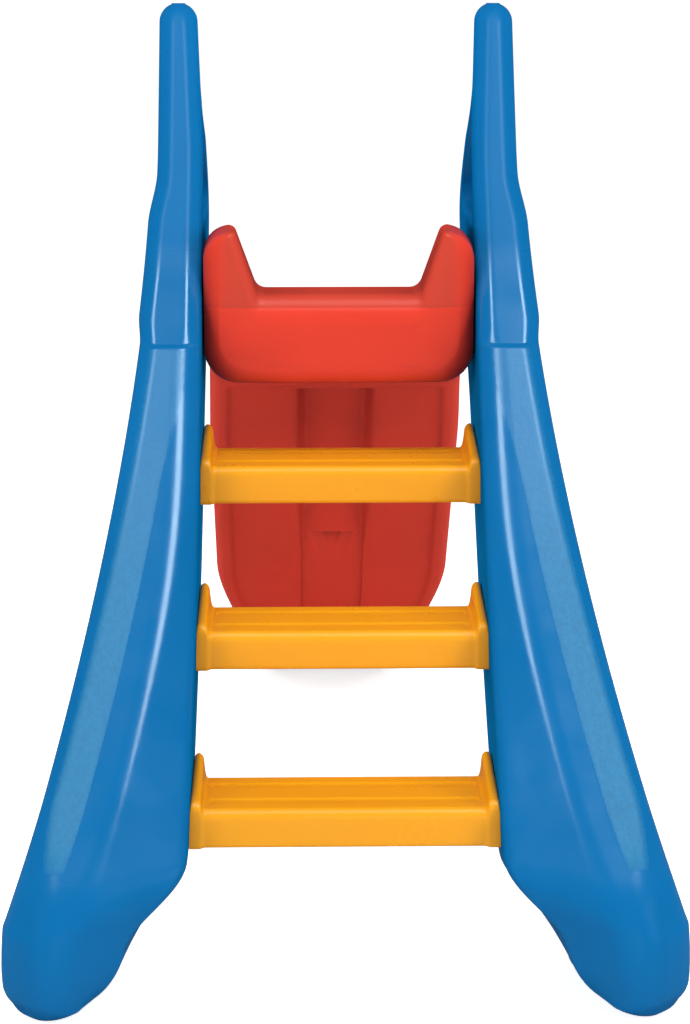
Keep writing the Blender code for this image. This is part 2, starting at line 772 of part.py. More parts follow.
def flank_x(y, z):
    """Outer face of a rail at a point of its side: it slants in towards the front."""
    inner = inner_face(z)
    outer = outer_face(z)
    thickness = outer - inner
    front_thickness = thickness * (1 - FRONT_NARROWING * ramp(thickness, 0.06, 0.20))
    rear = rear_y(z) + BAND_MARGIN
    share = (y - rear) / (rear_y(z) + rail_depth(z) - rear)
    return outer + (inner + front_thickness - outer) * share


def cap_x(y, z):
    """Outer end of a pocket cap, a little inside the lowest edge of the pocket's mouth."""
    below = flank_x(y, z - POCKET_RADIUS)
    above = flank_x(y + POCKET_RADIUS, z + POCKET_RADIUS)
    return min(below, above) - CAP_RECESS


def make_rail(side, name, collection, tools, material):
    """Hollow side rail: outer skin less a core that leaves the walls and the bolt tunnels."""
    rings = [rail_ring(z, side, 0.0, CORNER_STEPS) for z in rail_levels()]
    rail = loft(name, rings, collection, material)
    core_levels = [WALL] + [z for z in rail_levels() if 2 * WALL < z <= HEIGHT - TIP_RADIUS]
    core_rings = [rail_ring(z, side, WALL, CORE_STEPS) for z in core_levels]
    core = hide_tool(loft(name + "_core", core_rings, tools))
    tunnels = []
    cuts = [grip_rings(side, 0.0)]
    for label, y, z, target in bolt_places():
        start = (side * (inner_face(z) - OVERCUT), y, z)
        reach = flank_x(y, z) - inner_face(z) + 2 * OVERCUT
        tunnel_radius = POCKET_RADIUS + POCKET_FLARE + WALL
        spans = ((0.0, tunnel_radius), (reach, tunnel_radius))
        tunnels.append(circle_rings(start, (side, 0, 0), spans, ROUND_STEPS))
        bore = BOLT_RADIUS + BOLT_CLEARANCE
        seat = OVERCUT + SEAT_THICKNESS
        spans = ((0.0, bore), (seat, bore), (seat, POCKET_RADIUS), (reach, POCKET_RADIUS + POCKET_FLARE))
        cuts.append(hole_rings(start, (side, 0, 0), spans))
        if target == "step":
            for offset in (-PEG_SPACING / 2, PEG_SPACING / 2):
                start = (side * (inner_face(z) - OVERCUT), y + offset, z)
                radius = PEG_RADIUS + GAP
                spans = ((0.0, radius), (OVERCUT + PEG_LENGTH + 2 * WALL, radius))
                cuts.append(hole_rings(start, (side, 0, 0), spans))
    drain = (side * foot_middle(), rear_y(0.0) + FOOT_DEPTH / 2, 0.0)
    spans = ((-OVERCUT, DRAIN_RADIUS), (OVERCUT, DRAIN_RADIUS))
    cuts.append(hole_rings(drain, (0, 0, 1), spans))
    combine(core, joined_tool(name + "_tunnels", tunnels, tools), "DIFFERENCE")
    grip_wall = joined_tool(name + "_grip_wall", [grip_rings(side, WALL)], tools)
    combine(core, grip_wall, "DIFFERENCE")
    combine(rail, core, "DIFFERENCE")
    combine(rail, joined_tool(name + "_cuts", cuts, tools), "DIFFERENCE")
    return rail


def tread_outline(groove, ear, proud):
    """Outline of a step across its depth, (y, z) from the rear edge: two shallow flutes on top."""
    rear_ear = EAR_REAR_SHARE * ear
    corners = [
        (-proud, -STEP_FACE - proud, 0.006),
        (TREAD_DEPTH + proud, -STEP_FACE - proud, 0.006),
        (TREAD_DEPTH + proud, ear, STEP_NOSE),
    ]
    for centre in (TREAD_DEPTH / 2 + GROOVE_OFFSET, TREAD_DEPTH / 2 - GROOVE_OFFSET):
        for offset, depth in ((1, 0.0), (GROOVE_FLAT, groove), (-GROOVE_FLAT, groove), (-1, 0.0)):
            y = centre + offset * GROOVE_WIDTH / 2
            top = rear_ear + (ear - rear_ear) * y / TREAD_DEPTH
            corners.append((y, top - depth, 0.0))
    corners.append((-proud, rear_ear, STEP_NOSE))
    return rounded(corners, CHUTE_STEPS)


def step_stations():
    """(distance from the end, share of the ear's height, groove share) along one half of a step."""
    return (
        (0.0, 0.76, 0.0),
        (0.14 * FLANGE, 0.92, 0.0),
        (0.42 * FLANGE, 1.0, 0.0),
        (0.74 * FLANGE, 0.96, 0.0),
        (0.96 * FLANGE, 0.76, 0.0),
        (1.06 * FLANGE, 0.28, 0.0),
        (1.22 * FLANGE, 0.08, 0.0),
        (1.55 * FLANGE, 0.0, 0.0),
        (1.95 * FLANGE, 0.0, 1.0),
    )


def flange_proud(distance):
    """How far the step's ends stand proud of its middle, behind, in front and below."""
    return FLANGE_PROUD * (1 - ramp(distance, 0.9 * FLANGE, 1.5 * FLANGE))


def make_step(number, name, collection, tools, material):
    """Step with raised flanges at its ends, open and ribbed below, with two pegs at each end."""
    base_z = tread_z(number)
    base_y = step_rear(number)
    stations = [(-1, *station) for station in step_stations()]
    stations += [(1, *station) for station in reversed(step_stations())]
    rings = []
    for side, distance, ear, groove in stations:
        ring = []
        for point in tread_outline(groove * GROOVE_DEPTH, ear * EAR_RISE, flange_proud(distance)):
            z = base_z + point.y
            x = side * (step_end(z) - distance)
            ring.append(Vector((x, base_y + point.x, z)))
        rings.append(ring)
    step = loft(name, rings, collection, material)
    half = step_end(step_bolt_place(number)[1]) - FLANGE
    pocket_width = (2 * half - RIB_COUNT * RIB) / (RIB_COUNT + 1)
    pockets = []
    for index in range(RIB_COUNT + 1):
        low_x = -half + index * (pocket_width + RIB)
        rings = []
        for z in (-STEP_FACE - OVERCUT, -STEP_SKIN - GROOVE_DEPTH):
            corners = (
                (low_x, STEP_SKIN, 0.004),
                (low_x + pocket_width, STEP_SKIN, 0.004),
                (low_x + pocket_width, TREAD_DEPTH - STEP_SKIN, 0.004),
                (low_x, TREAD_DEPTH - STEP_SKIN, 0.004),
            )
            rings.append([Vector((p.x, base_y + p.y, base_z + z)) for p in rounded(corners, 1)])
        pockets.append(rings)
    combine(step, joined_tool(name + "_pockets", pockets, tools), "DIFFERENCE")
    y, z = step_bolt_place(number)
    pegs = []
    holes = []
    for side in (-1, 1):
        face = step_end(z)
        bore = BOLT_RADIUS + BOLT_CLEARANCE
        spans = ((-FLANGE - RIB, bore), (OVERCUT, bore))
        holes.append(hole_rings((side * face, y, z), (side, 0, 0), spans))
        for offset in (-PEG_SPACING / 2, PEG_SPACING / 2):
            spans = ((-FLANGE / 2, PEG_RADIUS), (PEG_LENGTH - 0.001, PEG_RADIUS), (PEG_LENGTH, PEG_RADIUS - 0.001))
            pegs.append(circle_rings((side * face, y + offset, z), (side, 0, 0), spans, ROUND_STEPS))
    combine(step, joined_tool(name + "_holes", holes, tools), "DIFFERENCE")
    combine(step, joined_tool(name + "_pegs", pegs, tools), "UNION")
    return step


def make_upper_chute(collection, tools, material):
    """Platform and upper half of the chute: hollow, open at its lower end."""
    rings = []
    for share in (1.0, 0.72, 0.45, 0.22):
        angle = share * math.radians(75)
        rings.append(chute_ring(END_ROUND * (1 - math.sin(angle)) - END_ROUND * (1 - math.sin(math.radians(75))),
                                END_ROUND * (1 - math.cos(angle)), CHUTE_STEPS))
    stations = [END_ROUND, LIP_ROLL] + slope_stations(LIP_ROLL, SEAM, 22)[1:]
    rings += [chute_ring(s, 0.0, CHUTE_STEPS) for s in stations]
    chute = loft("upper_chute", rings, collection, material)
    core_stations = [1.4 * END_ROUND, LIP_ROLL] + slope_stations(LIP_ROLL, SEAM + OVERCUT, 16, WALL)[1:]
    core_rings = [chute_ring(s, WALL, CHUTE_STEPS) for s in core_stations]
    core = hide_tool(loft("upper_chute_core", core_rings, tools))
    combine(chute, core, "DIFFERENCE")
    cuts = []
    for side in (-1, 1):
        for station in INSERT_STATIONS:
            y, z = chute_bolt_place(station)
            face = chute_half_width(station)
            spans = ((-OVERCUT, INSERT_RADIUS + GAP), (OVERCUT, INSERT_RADIUS + GAP))
            cuts.append(hole_rings((side * face, y, z), (side, 0, 0), spans))
    cuts += lap_screw_holes(LAP_SCREW_RADIUS + BOLT_CLEARANCE)
    combine(chute, joined_tool("upper_chute_cuts", cuts, tools), "DIFFERENCE")
    return chute


def lap_screw_place(x):
    station = SEAM - LAP / 2
    return on_chute(station, x, PANEL_DEPTH - THICKNESS)


def lap_screw_holes(radius):
    holes = []
    for x in (-LAP_SCREW_X, LAP_SCREW_X):
        spans = ((-OVERCUT, radius), (2.6 * WALL, radius))
        holes.append(hole_rings(lap_screw_place(x), chute_normal(SEAM - LAP / 2), spans))
    return holes


def make_lower_chute(collection, tools, material):
    """Lower half of the chute: a spigot that slips into the upper half, and the run-out."""
    spigot = WALL + LAP_FIT
    shoulder = SEAM + GAP
    rings = [chute_ring(SEAM - LAP, spigot, CHUTE_STEPS), chute_ring(shoulder, spigot, CHUTE_STEPS)]
    end = path_length()
    stations = [shoulder] + slope_stations(shoulder, end - END_ROUND, 22)[1:]
    rings += [chute_ring(s, 0.0, CHUTE_STEPS) for s in stations]
    for share in (0.35, 0.68, 1.0):
        angle = share * math.radians(75)
        rings.append(chute_ring(end - END_ROUND * (1 - math.sin(angle) / math.sin(math.radians(75))),
                                END_ROUND * (1 - math.cos(angle)), CHUTE_STEPS))
    chute = loft("lower_chute", rings, collection, material)
    core_rings = [chute_ring(SEAM - LAP - OVERCUT, spigot + WALL, CHUTE_STEPS)]
    core_rings.append(chute_ring(shoulder + WALL, spigot + WALL, CHUTE_STEPS))
    for s in slope_stations(shoulder + 2 * WALL, end - 1.6 * END_ROUND, 16, WALL):
        core_rings.append(chute_ring(s, WALL, CHUTE_STEPS))
    core = hide_tool(loft("lower_chute_core", core_rings, tools))
    combine(chute, core, "DIFFERENCE")
    pilot = lap_screw_holes(LAP_SCREW_RADIUS + GAP)
    combine(chute, joined_tool("lower_chute_pilots", pilot, tools), "DIFFERENCE")
    return chute


def bolt_profile(shank, radius, head_radius, head_height, socket):
    """Button-head bolt, head up, seat at height zero."""
    return (
        (0.0, 0.45 * head_height),
        (socket, 0.45 * head_height),
        (socket, head_height),
        (0.55 * head_radius, head_height),
        (head_radius, 0.30 * head_height),
        (head_radius, 0.0),
        (radius, 0.0),
        (radius, -shank),
        (0.0, -shank),
    )


def make_bolts(side, side_name, collection, material):
    for label, y, z, target in bolt_places():
        inner = inner_face(z)
        if target == "step":
            shank = SEAT_THICKNESS + 2 * GAP + FLANGE + NUT_HEIGHT + BOLT_STICK_OUT
        else:
            shank = SEAT_THICKNESS + INSERT_LENGTH - BOLT_STICK_OUT
        profile = bolt_profile(shank, BOLT_RADIUS, HEAD_RADIUS, HEAD_HEIGHT, SOCKET_RADIUS)
        location = (side * (inner + SEAT_THICKNESS + GAP), y, z)
        name = f"{target}_bolt_{label}_{side_name}"
        turned(name, profile, BOLT_STEPS, location, (side, 0, 0), collection, material)


def make_nut(name, side, y, z, collection, tools, material):
    """Hexagon nut inside a step, against the step's end wall."""
    face = step_end(z) - FLANGE - GAP
    centre = (side * (face - NUT_HEIGHT), y, z)
    corner = NUT_FLATS / math.sqrt(3)
    spans = ((0.0, corner), (NUT_HEIGHT, corner))
    nut = loft(name, circle_rings(centre, (side, 0, 0), spans, 6), collection, material)
    spans = ((-OVERCUT, BOLT_RADIUS + GAP), (OVERCUT, BOLT_RADIUS + GAP))
    bore = joined_tool(name + "_bore", [hole_rings(centre, (side, 0, 0), spans)], tools)
    combine(nut, bore, "DIFFERENCE")


def make_insert(name, side, station, collection, material):
    """Threaded barrel set flush in the side of the upper chute."""
    y, z = chute_bolt_place(station)
    bore = BOLT_RADIUS + GAP
    profile = (
        (bore, 0.0),
        (INSERT_RADIUS, 0.0),
        (INSERT_RADIUS, -INSERT_LENGTH),
        (bore, -INSERT_LENGTH),
        (bore, 0.0),
    )
    location = (side * chute_half_width(station), y, z)
    insert = turned(name, profile[:4], ROUND_STEPS, location, (side, 0, 0), collection, material)
    close_profile(insert)


def close_profile(piece):
    """Join the two ends of a turned profile, so that it makes a tube."""
    mesh = piece.data
    last = len(mesh.vertices) - 1
    mesh.edges.add(1)
    mesh.edges[-1].vertices = (last, 0)


def make_cap(name, side, y, z, collection, material):
    """Domed cap pressed into the mouth of a bolt pocket."""
    inner = inner_face(z)
    face = cap_x(y, z)
    reach = flank_x(y, z) - inner + OVERCUT - SEAT_THICKNESS
    share = (face - CAP_THICKNESS - inner - SEAT_THICKNESS) / reach
    radius = POCKET_RADIUS + POCKET_FLARE * max(share, 0.0) - GAP
    profile = (
        (0.0, 0.0),
        (0.6 * radius, -0.0005),
        (0.9 * radius, -0.0012),
        (radius, -0.0028),
        (radius, -CAP_THICKNESS),
        (0.0, -CAP_THICKNESS),
    )
    turned(name, profile, CAP_STEPS, (side * face, y, z), (side, 0, 0), collection, material)


def make_lap_screws(collection, material):
    normal = chute_normal(SEAM - LAP / 2)
    for x, side_name in ((-LAP_SCREW_X, "left"), (LAP_SCREW_X, "right")):
        profile = bolt_profile(LAP_SCREW_LENGTH, LAP_SCREW_RADIUS, LAP_SCREW_HEAD, 0.0035, 0.0015)
        location = lap_screw_place(x) - GAP * normal
        turned(f"lap_screw_{side_name}", profile, BOLT_STEPS, location, -normal, collection, material)


def main():
    clear_scene()
    collection = new_collection("kids_slide")
    tools = new_collection("cutters")
    blue = make_material(BLUE)
    red = make_material(RED)
    yellow = make_material(YELLOW)
    steel = make_material(STEEL, 1.0)
    brass = make_material(BRASS, 1.0)
    cap_blue = make_material(CAP_BLUE)
    for side, side_name in ((-1, "left"), (1, "right")):
        make_rail(side, f"{side_name}_rail", collection, tools, blue)
        make_bolts(side, side_name, collection, steel)
        for label, y, z, target in bolt_places():
            make_cap(f"pocket_cap_{target}_{label}_{side_name}", side, y, z, collection, cap_blue)
            if target == "step":
                make_nut(f"step_nut_{label}_{side_name}", side, y, z, collection, tools, steel)
        for station, label in zip(INSERT_STATIONS, ("rear", "front")):
            make_insert(f"chute_insert_{label}_{side_name}", side, station, collection, brass)
    for number, label in enumerate(("bottom", "middle", "top")):
        make_step(number, f"step_{label}", collection, tools, yellow)
    make_upper_chute(collection, tools, red)
    make_lower_chute(collection, tools, red)
    make_lap_screws(collection, steel)


main()
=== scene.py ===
"""Looks of the kids slide: moulded skins with rounded edges, fasteners and a white studio."""
import json
import math

import bmesh
import bpy
from mathutils import Matrix, Vector

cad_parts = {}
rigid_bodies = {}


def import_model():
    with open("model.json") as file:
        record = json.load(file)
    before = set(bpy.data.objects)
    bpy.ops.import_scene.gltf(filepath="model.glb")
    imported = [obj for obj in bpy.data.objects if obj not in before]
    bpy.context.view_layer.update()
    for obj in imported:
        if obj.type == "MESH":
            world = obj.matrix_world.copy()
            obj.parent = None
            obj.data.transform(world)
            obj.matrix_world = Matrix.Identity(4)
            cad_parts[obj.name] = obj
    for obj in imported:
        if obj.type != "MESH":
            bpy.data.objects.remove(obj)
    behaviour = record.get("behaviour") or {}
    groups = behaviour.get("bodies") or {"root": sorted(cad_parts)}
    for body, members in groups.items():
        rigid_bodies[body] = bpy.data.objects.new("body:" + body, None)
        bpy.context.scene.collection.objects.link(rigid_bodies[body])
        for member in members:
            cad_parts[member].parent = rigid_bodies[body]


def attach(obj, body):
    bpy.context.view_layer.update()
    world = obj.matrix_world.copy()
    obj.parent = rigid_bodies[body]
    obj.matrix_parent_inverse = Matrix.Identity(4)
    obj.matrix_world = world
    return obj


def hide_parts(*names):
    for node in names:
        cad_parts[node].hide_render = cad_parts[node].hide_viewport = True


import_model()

bl_info = {
    "name": "Kids slide",
    "version": (1, 0, 0),
    "blender": (4, 5, 0),
    "location": "View3D > Sidebar > Kids slide",
    "description": "Builds the visible pieces of a kids slide round its frame",
    "category": "Object",
}

# Overall
LENGTH = 1.70
HEIGHT = 1.186
GAP = 0.0003

# Rail in side view: the toe, how far the rail leans from upright at the foot and the tip, its depth
TOE_MIDDLE = 0.060
TOE_UNDERCUT = 0.050
TOE_RADIUS = 0.17
LEAN_FOOT = math.radians(41.0)
LEAN_TIP = math.radians(29.5)
FOOT_DEPTH = 0.215
HEEL_DEPTH = 0.300
LEG_DEPTH = 0.275
GUARD_DEPTH = 0.395
HANDLE_DEPTH = 0.054
HEEL_LEVEL = 0.06
LEG_LEVEL = 0.20
LEG_TOP = 0.61
GUARD_LEVEL = 0.865
HANDLE_LEVEL = 1.10

# Rail in rear view: inner faces that lean in as far as the platform, outer faces that flare to the toe
CLEAR_WIDTH = 0.3656
INNER_FLARE = 0.020
INNER_POWER = 2.5
INNER_TOP_LEVEL = 0.80
HANDLE_SPREAD_LEVEL = 1.00
HANDLE_SPREAD = 0.010
HANDLE_THICKNESS = 0.0612
SHOULDER = 0.0085
SHOULDER_LOW = 0.90
SHOULDER_HIGH = 0.965
SWELL = 0.006
SWELL_TOP = 0.79
FLARE = 0.2091
FLARE_TOP = 1.00
FLARE_POWER = 1.77
TOE_LEVEL = 0.11
SOLE_RADIUS = 0.040
TIP_RADIUS = 0.024

# How far the foot's inner side draws outwards near the ground: one lobe at the heel, one at the toe
HEEL_TUCK = 0.078
HEEL_LOBE_LOW = 0.018
HEEL_LOBE_HIGH = 0.128
HEEL_ROUND = 0.016
TOE_TUCK = 0.070
TOE_LOBE_LOW = 0.080
TOE_LOBE_HIGH = 0.180
TOE_ROUND = 0.085
TOE_ROUND_LEVEL = 0.100
TOE_EDGE_RADIUS = 0.110
TOE_MARGIN = 0.045
TOE_SWELL = 0.011
TOE_BLEND_LOW = 0.06
TOE_BLEND_HIGH = 0.26
TOE_CHAMFER = 0.020

# Rear band of a rail and the ledge where it ends
BAND_WIDTH = 0.077
BAND_MARGIN = 0.017
BAND_MIN_CHAMFER = 0.016
BAND_BLEND = 0.020
LEDGE_LEVEL = 0.7495
LEDGE_DEPTH = 0.006
FRONT_RADIUS = 0.030
FRONT_NARROWING = 0.38
FRONT_THIN = 0.06
FRONT_THICK = 0.20

# Loop handle
GRIP_BAR = 0.046
GRIP_BOTTOM = 0.897
GRIP_TOP = 1.045
GRIP_RADIUS = 0.020

# Steps
FIRST_TREAD = 0.2285
STEP_RISE = 0.186
STEP_SETBACK = 0.060
TREAD_DEPTH = 0.145
STEP_FACE = 0.049
STEP_NOSE = 0.012
STEP_SKIN = 0.004
FLANGE = 0.0135
FLANGE_PROUD = 0.0015
EAR_RISE = 0.035
EAR_REAR_SHARE = 0.26
GROOVE_WIDTH = 0.022
GROOVE_DEPTH = 0.0017
GROOVE_OFFSET = 0.031
GROOVE_FLAT = 0.4
RIB_COUNT = 3
RIB = 0.004

# Chute path
SEAT_LEVEL = 0.813
LIP_SETBACK = 0.0428
PLATFORM = 0.074
CREST_RADIUS = 0.30
RUNOUT_RADIUS = 0.28
RUNOUT = 0.033

# Chute section
SIDE_CLEARANCE = 0.0005
LIP_NARROWING = 0.002
RIM_WIDTH = 0.035
RIM_END_SHARE = 0.45
EAR_WIDTH = 0.042
EAR_OUTER_RADIUS = 0.040
EAR_INNER_RADIUS = 0.010
EAR_SLANT = 0.012
WALL_SPAN = 0.0675
EAR_HEIGHT = 0.086
SIDE_HEIGHT = 0.088
NOSE_HEIGHT = 0.026
LIP_DROP = 0.120
THICKNESS = 0.041
CHUTE_SWELL = 0.005
FLANK_DRAFT = 0.002
FLOOR_RADIUS = 0.030
LIP_CORNER = 0.045
BOTTOM_CORNER = 0.020
LIP_ROLL = 0.030
LIP_SIDE_ROUND = 0.016
EAR_FLOOR_RADIUS = 0.014
END_ROUND = 0.013
TAPER_START = 0.505
TAPER_LENGTH = 0.30
TAPER = 0.045
TONGUE_LENGTH = 0.17
TONGUE_POWER = 2.2
TONGUE_TIP_SHARE = 0.93

# Joint of the two chute halves
SEAM = 0.625
LAP = 0.045
LAP_SCREW_X = 0.105

# Underside of the chute, as distances along its path: a recessed panel, a channel that fades, a scoop
PANEL_START = 0.395
PANEL_END = 1.17
PANEL_FADE = 0.06
PANEL_RUN_IN = 0.008
PANEL_MARGIN = 0.0125
PANEL_WALL = 0.010
PANEL_DEPTH = 0.005
PANEL_CORNER = 0.020
CHANNEL_START = 0.408
CHANNEL_RUN_IN = 0.005
CHANNEL_MOUTH = 0.0648
CHANNEL_FLOOR = 0.0418
CHANNEL_DEPTH = 0.024
CHANNEL_FADE_START = 0.70
CHANNEL_FADE_END = 0.91
TAIL_MOUTH = 0.0535
TAIL_FLOOR = 0.0500
TAIL_DEPTH = 0.004
SCOOP_START = 0.838
SCOOP_LENGTH = 0.087
SCOOP_DEPTH = 0.012
SCOOP_HALF = 0.0375
BOWL_START = 0.846
BOWL_LENGTH = 0.055
BOWL_DEPTH = 0.017
BOWL_HALF = 0.019

# Bolts, nuts and caps
BOLT_RADIUS = 0.004
BOLT_CLEARANCE = 0.0005
HEAD_RADIUS = 0.010
HEAD_HEIGHT = 0.0055
SOCKET_RADIUS = 0.0028
SEAT_THICKNESS = 0.022
POCKET_RADIUS = 0.0150
POCKET_FLARE = 0.0015
CAP_THICKNESS = 0.005
CAP_RECESS = 0.003
NUT_FLATS = 0.013
NUT_HEIGHT = 0.0065
BOLT_STICK_OUT = 0.003
INSERT_RADIUS = 0.007
INSERT_LENGTH = 0.018
INSERT_DROP = 0.020
INSERT_STATIONS = (0.100, 0.235)
DRAIN_RADIUS = 0.006
OVERCUT = 0.02
STEP_LABELS = ("bottom", "middle", "top")
INSERT_LABELS = ("rear", "front")

# Screw of the chute's joint: shank, radius, head radius, head height, socket, thread length, pitch
LAP_SCREW = (0.016, 0.0024, 0.0065, 0.0035, 0.0018, 0.013, 0.0018)

# How finely the pieces are divided: points, turns and sections between two levels
SHARP_ANGLE = math.radians(35)
FILLET_SWEEP = math.radians(86)
END_SWEEP = math.radians(84)
SIDES = ((-1, "left"), (1, "right"))
TOE_STEPS = 18
TOE_CROWDING = 1.7
TIP_STEPS = 12
RAIL_LEVELS = (
    (LEG_LEVEL, 36),
    (LEDGE_LEVEL - 0.003, 62),
    (LEDGE_LEVEL + LEDGE_DEPTH + 0.003, 14),
    (GUARD_LEVEL, 20),
    (HEIGHT - TIP_RADIUS, 54),
)
RAIL_DIVISIONS = (12, 5, 26, 3, 12, 5)
GRIP_CORNER_STEPS = 8
GRIP_DIVISIONS = (12, 12, 3, 12)
GRIP_TURNS = (0.0, 0.12, 0.26, 0.40, 0.55, 0.70, 0.85, 1.0)
POCKET_TURNS = (0.0, 0.25, 0.5, 0.75, 0.94)
POCKET_STEPS = 40
BORE_STEPS = 20
DRAIN_STEPS = 24
STEP_CORNER_STEPS = 6
STEP_DIVISIONS = (4, 6, 1, 6)
TREAD_PARTS = 64
UNDERSIDE_PARTS = 6
STATION_STEP = 0.006
STATION_LEAST = 0.0007
MARK_OFFSETS = (0.0012, 0.0024, 0.0036, 0.0048, 0.0066)
THREAD_STEPS = 24
TURNED_STEPS = 32
INSERT_STEPS = 40
CAP_STEPS = 48
CAP_TURNS = 8
HEAD_TURNS = 8
HEAD_SWEEP = math.radians(80)

# Rounding of the rails that the frame leaves out
RIDGE_ROUND = 0.055
RIDGE_FADE_BELOW = 0.02
RIDGE_FADE_ABOVE = 0.03
SOFT_EDGE = 0.020
CHAMFER_MOST = 0.62
CHAMFER_SLOPE = 0.33
CHAMFER_DEPTH = 0.013
MARGIN_SHARE = 1.3
HEEL_LEAST = 0.04
HANDLE_EDGE = 0.021
HANDLE_EDGE_LOW = 0.83
HANDLE_EDGE_HIGH = 0.88
INSIDE_REACH = 0.004
GRIP_OVERCUT = 0.015
BORE_OVERLAP = 0.001

# Rounding of the steps and the hollows below them: (height, how far it draws in)
STEP_LOWER_ROUND = 0.006
EAR_TOP = 0.42
EAR_FOOT = 0.97
EAR_FILLET = 0.66
STEP_POCKET_CORNER = 0.005
STEP_POCKET_LEVELS = (
    (-STEP_FACE - OVERCUT, 0.0),
    (-STEP_FACE, 0.0),
    (-STEP_SKIN - GROOVE_DEPTH - 0.004, 0.0006),
    (-STEP_SKIN - GROOVE_DEPTH - 0.001, 0.0015),
    (-STEP_SKIN - GROOVE_DEPTH, 0.0035),
)

# Rounding of the chute
LIP_ROUND = 0.0125
LIP_BOW_WIDTH = 0.095
LIP_BOW_DEPTH = 0.018
LIP_BOW_REACH = 0.090
LIP_BOW_MOST = 0.97

# Detail of the fasteners, with the inserts' outline: (share of the length, factor of the radius)
FASTENER_ROUND = 0.0004
FASTENER_OVERCUT = 0.001
FLARED = 0.0012
INSERT_FLARED = 0.0014
INSERT_LIP = 0.0006
BOLT_THREAD = 0.020
THREAD_SHARE = 0.62
NUT_END_SHARE = 0.90
NUT_CHAMFER = 0.0009
NUT_THREAD_START = 0.001
BORE_CHAMFER = 0.0008
KNURL_DEPTH = 0.0005
KNURL_SHARE = 0.45
KNURL_LENGTH = 0.32
KNURL_MIDDLES = (-0.73, -0.24)
INSERT_PROFILE = ((1.0, 0.86), (0.90, 1.0), (0.56, 1.0), (0.54, 0.88), (0.46, 0.88), (0.44, 1.0))
CAP_CHAMFER = 0.0006
CAP_RIM = 0.0030
CAP_ROUND = 0.0016
CAP_INSET = 0.0022
CAP_DOME = 0.0014
GATE_DEPTH = 0.0004
GATE_RADIUS = 0.0012

# Noises of the materials: cycles in a metre, detail, roughness; the grain's cycles follow its size
DRIFT_NOISE = (4.0, 3.0, 0.55)
GLOSS_NOISE = (22.0, 4.0, 0.6)
PEEL_NOISE = (420.0, 3.0, 0.5)
SAG_NOISE = (16.0, 1.0, 0.4)
RAGGED_NOISE = (220.0, 3.0, 0.6)
STIPPLE_NOISE = (170.0, 3.0, 0.7)
TURNED_NOISE = (900.0, 2.0, 0.5)
MARKED_NOISE = (1500.0, 2.0, 0.5)
WORN_NOISE = (300.0, 2.0, 0.5)
GRAIN_NOISE = (2.0, 0.6)
LUMP_NOISE = (2.0, 0.5)
LUMP_SHARE = 0.25

# Plastics
WHITE = (1.0, 1.0, 1.0, 1.0)
BLACK = (0.0, 0.0, 0.0)
PLASTIC_IOR = 1.5
DRIFT_DARKER = 0.93
DRIFT_LIGHTER = 1.04
DRIFT_LIFT = 0.002
GLOSS_DRIFT = 0.035
PEEL_DEPTH = 0.0006
SAG_DEPTH = 0.004
SAG_STRENGTH = 0.05
# Painted shade in nooks: occlusion samples, and the occlusion range that darkens the colour
PAINTED_SHADE_SAMPLES = 6
PAINTED_SHADE_RANGE = (0.40, 0.96)
RAIL_PEEL = 0.04
RAIL_FLOW = (1.0, 1.0, 0.4)
RAIL_SPECULAR = 0.5
MATT_SPECULAR = 0.12
MATT_ROUGHNESS = 0.30
FOOT_MATT_LOW = 0.165
FOOT_MATT_HIGH = 0.215
CHUTE_ROUGHNESS = 0.40
CHUTE_SPECULAR = 0.34
CHUTE_PEEL = 0.05
CHUTE_FLOW = (1.0, 0.6, 0.6)
# Painted shade in the chute's nooks: reach and depth
CHUTE_PAINTED_SHADE = (0.12, 0.60)
STEP_ROUGHNESS = 0.30
STEP_PEEL = 0.015
STEP_FLOW = (0.3, 1.0, 1.0)
# Painted shade in the steps' nooks: reach and depth
STEP_PAINTED_SHADE = (0.05, 0.30)
CAP_ROUGHNESS = 0.36
CAP_PEEL = 0.06

# Satin strip on the rear of the rails: real grain and roughness, with its colour lifted by a painted sheen
STRIP_WIDTH = 0.038
STRIP_WIDENING = 0.012
STRIP_WIDENING_START = 0.58
STRIP_LOW = 0.185
STRIP_RAGGED = 0.0006
STRIP_TOP_SHARE = 0.42
STRIP_FULL_LEVEL = 0.46
STRIP_PALE_LEVEL = 0.66
STRIP_SOFT = 0.0024
STRIP_OVERLAP = 0.003
STIPPLE_STRETCH = (1.0, 0.7, 0.45)
# Painted sheen: how far the strip's colour is lifted above the rail's
STRIP_PAINTED_SHEEN = (0.014, 0.062, 0.055)
SATIN_DULLER = 0.80
SATIN_ROUGHNESS = 0.52
GRAIN_DEPTH = 0.0006
GRAIN_STRENGTH = 0.55

# Flat face of the lip, made paler by a painted sheen, and the crease below it
FACE_NEAR = 0.03
FACE_FAR = 0.12
FACE_HALF = 0.158
FACE_SOFT_IN = 0.012
FACE_SOFT_OUT = 0.008
CREASE_DROP = 0.016
CREASE_SOFT = 0.001
CREASE_WIDTH = 0.0035
CREASE_DEPTH = 0.0004
# Painted sheen: the paler colour of the lip's face and ears above the crease
LIP_FACE_PAINTED_SHEEN = (0.62, 0.053, 0.028)

# Metals
TURNED_STRETCH = (0.2, 1.0, 1.0)
METAL_DARKER = 0.82
WORN_LESS = 0.06
WORN_MORE = 0.08
MARK_DEPTH = 0.0002
MARK_STRENGTH = 0.2
STEEL_COLOUR = (0.60, 0.61, 0.62)
STEEL_ROUGHNESS = 0.30
BRASS_COLOUR = (0.76, 0.55, 0.24)
BRASS_ROUGHNESS = 0.28

